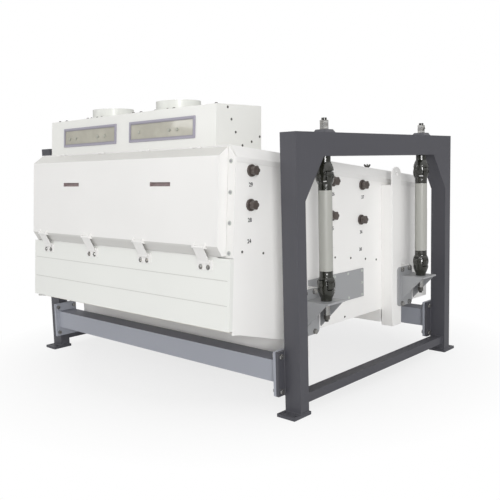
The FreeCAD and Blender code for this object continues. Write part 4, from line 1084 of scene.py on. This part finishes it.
    def lay_strips(self, name: str, plane: FrontPlane, outlines: list[Outline], depths: tuple[float, float],
                   material: bpy.types.Material) -> None:
        """Set flat strips on a leaning front, such as seals.

        Args:
            name: Name of the strips.
            plane: The front that carries them.
            outlines: The outline of each strip as x and height.
            depths: How far their backs and their faces lie in front of the plane.
            material: Their finish.
        """
        work = bmesh.new()
        for outline in outlines:
            back, face = ([work.verts.new(plane.seat(x, z, depth)[0]) for x, z in outline] for depth in depths)
            work.faces.new(face)
            work.faces.new(back[::-1])
            for i in range(len(outline)):
                j = (i + 1) % len(outline)
                work.faces.new((back[i], back[j], face[j], face[i]))
        bmesh.ops.recalc_face_normals(work, faces=work.faces)
        mesh = bpy.data.meshes.new(name)
        work.to_mesh(mesh)
        work.free()
        piece = link(name, mesh)
        wear(piece, material)
        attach(piece, Body.BOX.value)
        LOG.info("%s laid", name)

    def lay_seals(self) -> None:
        """Close the slits round the hood and under the roof's rear edge and line the windows with gaskets."""
        upper = [(-1.084, 1.575), (-1.074, 1.560), (-1.034, 1.612), (1.034, 1.612), (1.074, 1.560), (1.084, 1.575),
                 (1.0420, 1.6325), (-1.0420, 1.6325)]
        self.lay_strips("roof_seal", self.front, [upper], (-0.005, 0.0), self.palette.white)
        self.lay_strips("hood_foot_seal", self.front, [plate(-0.985, 0.985, 0.972, 0.983)], (0.020, 0.0295),
                        self.palette.white)
        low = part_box("rear_panel")[1].z + 0.0005
        rear = [(-1.086, low), (1.086, low), (1.086, low + 0.012), (1.041, 1.3835), (-1.041, 1.3835), (-1.086, low + 0.012)]
        self.lay_strips("rear_seal", FrontPlane(Vector((0.0, 1.101, 0.0)), 0.0), [rear], (0.0005, 0.006),
                        self.palette.white)
        gaskets = []
        for x0, x1 in ((-0.720, -0.088), (0.088, 0.720)):
            gaskets += [plate(x0, x1, 1.703, 1.710), plate(x0, x1, 1.807, 1.814),
                        plate(x0, x0 + 0.005, 1.710, 1.807), plate(x1 - 0.005, x1, 1.710, 1.807)]
        self.lay_strips("window_gaskets", self.head, gaskets, (0.0025, 0.0066), self.palette.gasket)

    def print_marks(self) -> None:
        """Print a number under each clamp knob and a third one under each column."""
        marks = []
        for texts, upper, lower in ((("29", "28", "24"), (-1.034, 1.399), (-1.052, 1.189)),
                                    (("26", "25", "23"), (-0.208, 1.304), (-0.222, 1.068)),
                                    (("37", "36", "38"), (0.155, 1.264), (0.131, 1.013))):
            lean = 0.126 * math.tan(math.radians(4.457))
            places = (upper, lower, (lower[0] - lean, lower[1] - 0.126))
            marks += [Mark(text, y, z) for text, (y, z) in zip(texts, places)]
        MarkSet(self.half_width, 0.034, self.palette.mark).print_on("number_marks", Body.BOX, marks)

    def set_roof_nuts(self) -> None:
        """Set the wing nuts that stand on the roof behind the middle."""
        lean = math.radians(6.3)
        up = Vector((0, math.sin(lean), math.cos(lean)))
        work = bmesh.new()
        for x in (-0.980, 0.980):
            work.from_mesh(wing_nut((Vector((x, 0.391, self.roof_height(0.391))), up), 0.090))
        mesh = bpy.data.meshes.new("roof_wing_nuts")
        work.to_mesh(mesh)
        work.free()
        piece = link("roof_wing_nuts", mesh)
        smooth_by_angle(mesh, 35)
        wear(piece, self.palette.dark_zinc)
        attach(piece, Body.BOX.value)

    def weld_frame(self) -> None:
        """Lay the weld beads of the portals and the tie beams."""
        portal, beams = [], []
        for end in (-1, 1):
            y0, y1 = end * 0.873, end * 0.953
            portal += ring([(1.258, y0, 0.020), (1.378, y0, 0.020), (1.378, y1, 0.020), (1.258, y1, 0.020)])
            portal += ring([(1.278, y0, 0.066), (1.358, y0, 0.066), (1.358, y0, 0.124), (1.278, y0, 0.124)])
            portal += [(Vector((1.258, y, 0.119)), Vector((1.258, y, 0.395))) for y in (y0, y1)]
            low, high = end * 0.913 - 0.070, end * 0.913 + 0.070
            beams += ring([(1.218, low, 0.196), (1.218, high, 0.196), (1.218, high, 0.333), (1.218, low, 0.333)])
        self.beads.lay("portal_welds", Body.FRAME, self.palette.portal, mirrored(portal), 0.0040)
        self.beads.lay("tie_beam_welds", Body.FRAME, self.palette.beam, mirrored(beams), 0.0040)

    def weld_box(self) -> None:
        """Lay the weld beads of the brackets and the stitch welds of the white posts."""
        grey, white = [], []
        base = 1.204
        for end in (-1, 1):
            y = end * self.hanger_y
            grey += [(Vector((base, y - 0.095, z)), Vector((base, y + 0.095, z))) for z in (0.640, 0.652)]
            for y0 in (y - 0.095, y + 0.085):
                grey += [(Vector((base, y0 + dy, 0.465)), Vector((base, y0 + dy, 0.636))) for dy in (0.0, 0.010)]
        for y in self.post_y:
            for edge in (y - 0.063, y + 0.063):
                white += [(Vector((self.half_width, edge, z)), Vector((self.half_width, edge, z + 0.055)))
                          for z in (0.46, 0.62, 0.78, 0.94, 1.10, 1.26)]
        self.beads.lay("bracket_welds", Body.BOX, self.palette.bracket, mirrored(grey), 0.0032)
        self.beads.lay("post_stitch_welds", Body.BOX, self.palette.white, mirrored(white), 0.0045)

    def build(self) -> None:
        """Dress the whole machine."""
        self.finish_nodes()
        self.round_nodes()
        self.set_front_screws()
        self.set_head_screws()
        self.set_side_screws()
        self.lay_seals()
        self.print_marks()
        self.set_roof_nuts()
        self.weld_frame()
        self.weld_box()


@dataclass
class Studio:
    """Camera, floor and lights."""

    eye: Vector
    yaw: float
    pitch: float
    roll: float
    focal_pixels: float
    image_pixels: float = 500.0
    sensor: float = 36.0

    def set_camera(self) -> None:
        """Make the camera that matches the photograph."""
        data = bpy.data.cameras.new("photo_camera")
        data.sensor_width = self.sensor
        data.lens = self.focal_pixels / self.image_pixels * self.sensor
        data.clip_end = 100.0
        camera = bpy.data.objects.new("photo_camera", data)
        bpy.context.scene.collection.objects.link(camera)
        yaw, pitch, roll = (math.radians(a) for a in (self.yaw, self.pitch, self.roll))
        ahead = Vector((math.sin(yaw) * math.cos(pitch), math.cos(yaw) * math.cos(pitch), math.sin(pitch)))
        level = Vector((math.cos(yaw), -math.sin(yaw), 0.0))
        above = level.cross(ahead)
        right = math.cos(roll) * level + math.sin(roll) * above
        up = -math.sin(roll) * level + math.cos(roll) * above
        turn = Matrix((right, up, -ahead)).transposed().to_4x4()
        camera.matrix_world = Matrix.Translation(self.eye) @ turn
        bpy.context.scene.camera = camera

    def lay_floor(self) -> None:
        """Lay a pale floor that turns white away from the machine and keeps its shadow."""
        mesh = bpy.data.meshes.new("studio_floor")
        half = 60.0
        mesh.from_pydata([(-half, -half, 0), (half, -half, 0), (half, half, 0), (-half, half, 0)], [], [(0, 1, 2, 3)])
        floor = link("studio_floor", mesh)
        graph = SurfaceGraph("floor_paper")
        spread = graph.make("ShaderNodeVectorMath", {"operation": "LENGTH"}, {0: graph.place}, "Value")
        rays = graph.node("ShaderNodeLightPath")
        seen = Signal(graph, rays.outputs["Is Camera Ray"]) + Signal(graph, rays.outputs["Is Transmission Ray"])
        paper = graph.node("ShaderNodeBsdfDiffuse", {}, {"Color": (0.72, 0.72, 0.72, 1.0)})
        glow = graph.node("ShaderNodeEmission", {}, {"Color": (1.0, 1.0, 1.0, 1.0), "Strength": 1.0})
        share = (spread.above(1.3, 2.3) * 0.25 + 0.75) * seen.above(0.0, 1.0)
        mixed = graph.node("ShaderNodeMixShader", {}, {0: share, 1: paper.outputs[0], 2: glow.outputs[0]})
        graph.node("ShaderNodeOutputMaterial", {}, {"Surface": mixed.outputs[0]})
        wear(floor, graph.material)

    def light_world(self) -> None:
        """Light the set from all sides, more from the front than from above, and show white past the set."""
        world = bpy.data.worlds.new("studio_world")
        world.use_nodes = True
        bpy.context.scene.world = world
        graph = Graph(world.node_tree)
        world.node_tree.nodes.clear()
        rays = graph.node("ShaderNodeLightPath")
        seen = Signal(graph, rays.outputs["Is Camera Ray"]) + Signal(graph, rays.outputs["Is Transmission Ray"])
        way = graph.make("ShaderNodeTexCoord", output="Generated")
        toward = graph.make("ShaderNodeVectorMath", {"operation": "DOT_PRODUCT"},
                            {0: way, 1: (0.55, -0.75, 0.30)}, "Value")
        height = graph.make("ShaderNodeSeparateXYZ", {}, {0: way}, "Z")
        shares = (toward.above(-0.9, 0.9), height.above(-0.1, 0.8))
        soft, mirror = (graph.node("ShaderNodeMixShader", {}, {
            0: share, 1: graph.node("ShaderNodeBackground", {}, {"Strength": low}).outputs[0],
            2: graph.node("ShaderNodeBackground", {}, {"Strength": high}).outputs[0]})
            for share, (low, high) in zip(shares, ((0.52, 0.84), (0.10, 1.35))))
        for made in graph.tree.nodes:
            if made.type == "BACKGROUND":
                made.inputs["Color"].default_value = (1.0, 1.0, 1.0, 1.0)
        ambient = graph.node("ShaderNodeMixShader", {}, {0: Signal(graph, rays.outputs["Is Glossy Ray"]),
                                                         1: soft.outputs[0], 2: mirror.outputs[0]})
        white = graph.node("ShaderNodeBackground", {}, {"Color": (1.0, 1.0, 1.0, 1.0), "Strength": 1.0})
        mixed = graph.node("ShaderNodeMixShader", {}, {0: seen.above(0.0, 1.0), 1: ambient.outputs[0],
                                                       2: white.outputs[0]})
        graph.node("ShaderNodeOutputWorld", {}, {"Surface": mixed.outputs[0]})

    def hang_softbox(self, name: str, place: Point, aim: Point, size: float, watts: float) -> None:
        """Hang one square softbox.

        Args:
            name: Name of the lamp.
            place: Where it hangs.
            aim: The point that it faces.
            size: Edge length in metres.
            watts: Its power.
        """
        data = bpy.data.lights.new(name, "AREA")
        data.shape = "SQUARE"
        data.size = size
        data.energy = watts
        lamp = bpy.data.objects.new(name, data)
        lamp.location = place
        lamp.rotation_euler = (Vector(aim) - Vector(place)).to_track_quat("-Z", "Y").to_euler()
        bpy.context.scene.collection.objects.link(lamp)

    def build(self) -> None:
        """Set up the whole studio."""
        bpy.context.scene.view_settings.view_transform = "Standard"
        self.set_camera()
        self.lay_floor()
        self.light_world()
        self.hang_softbox("key_softbox", (10.9, -8.7, 3.2), (0.0, 0.0, 1.0), 3.4, 780.0)
        self.hang_softbox("edge_softbox", (-4.5, -6.5, 4.0), (0.0, 0.0, 1.0), 2.0, 60.0)


def main() -> None:
    """Build the studio and dress the machine."""
    Studio(Vector((3.8315, -3.9921, 1.5024)), -43.0, -6.99, -1.59, 674.9).build()
    Separator(Palette()).build()


if __name__ == "__main__":
    main()
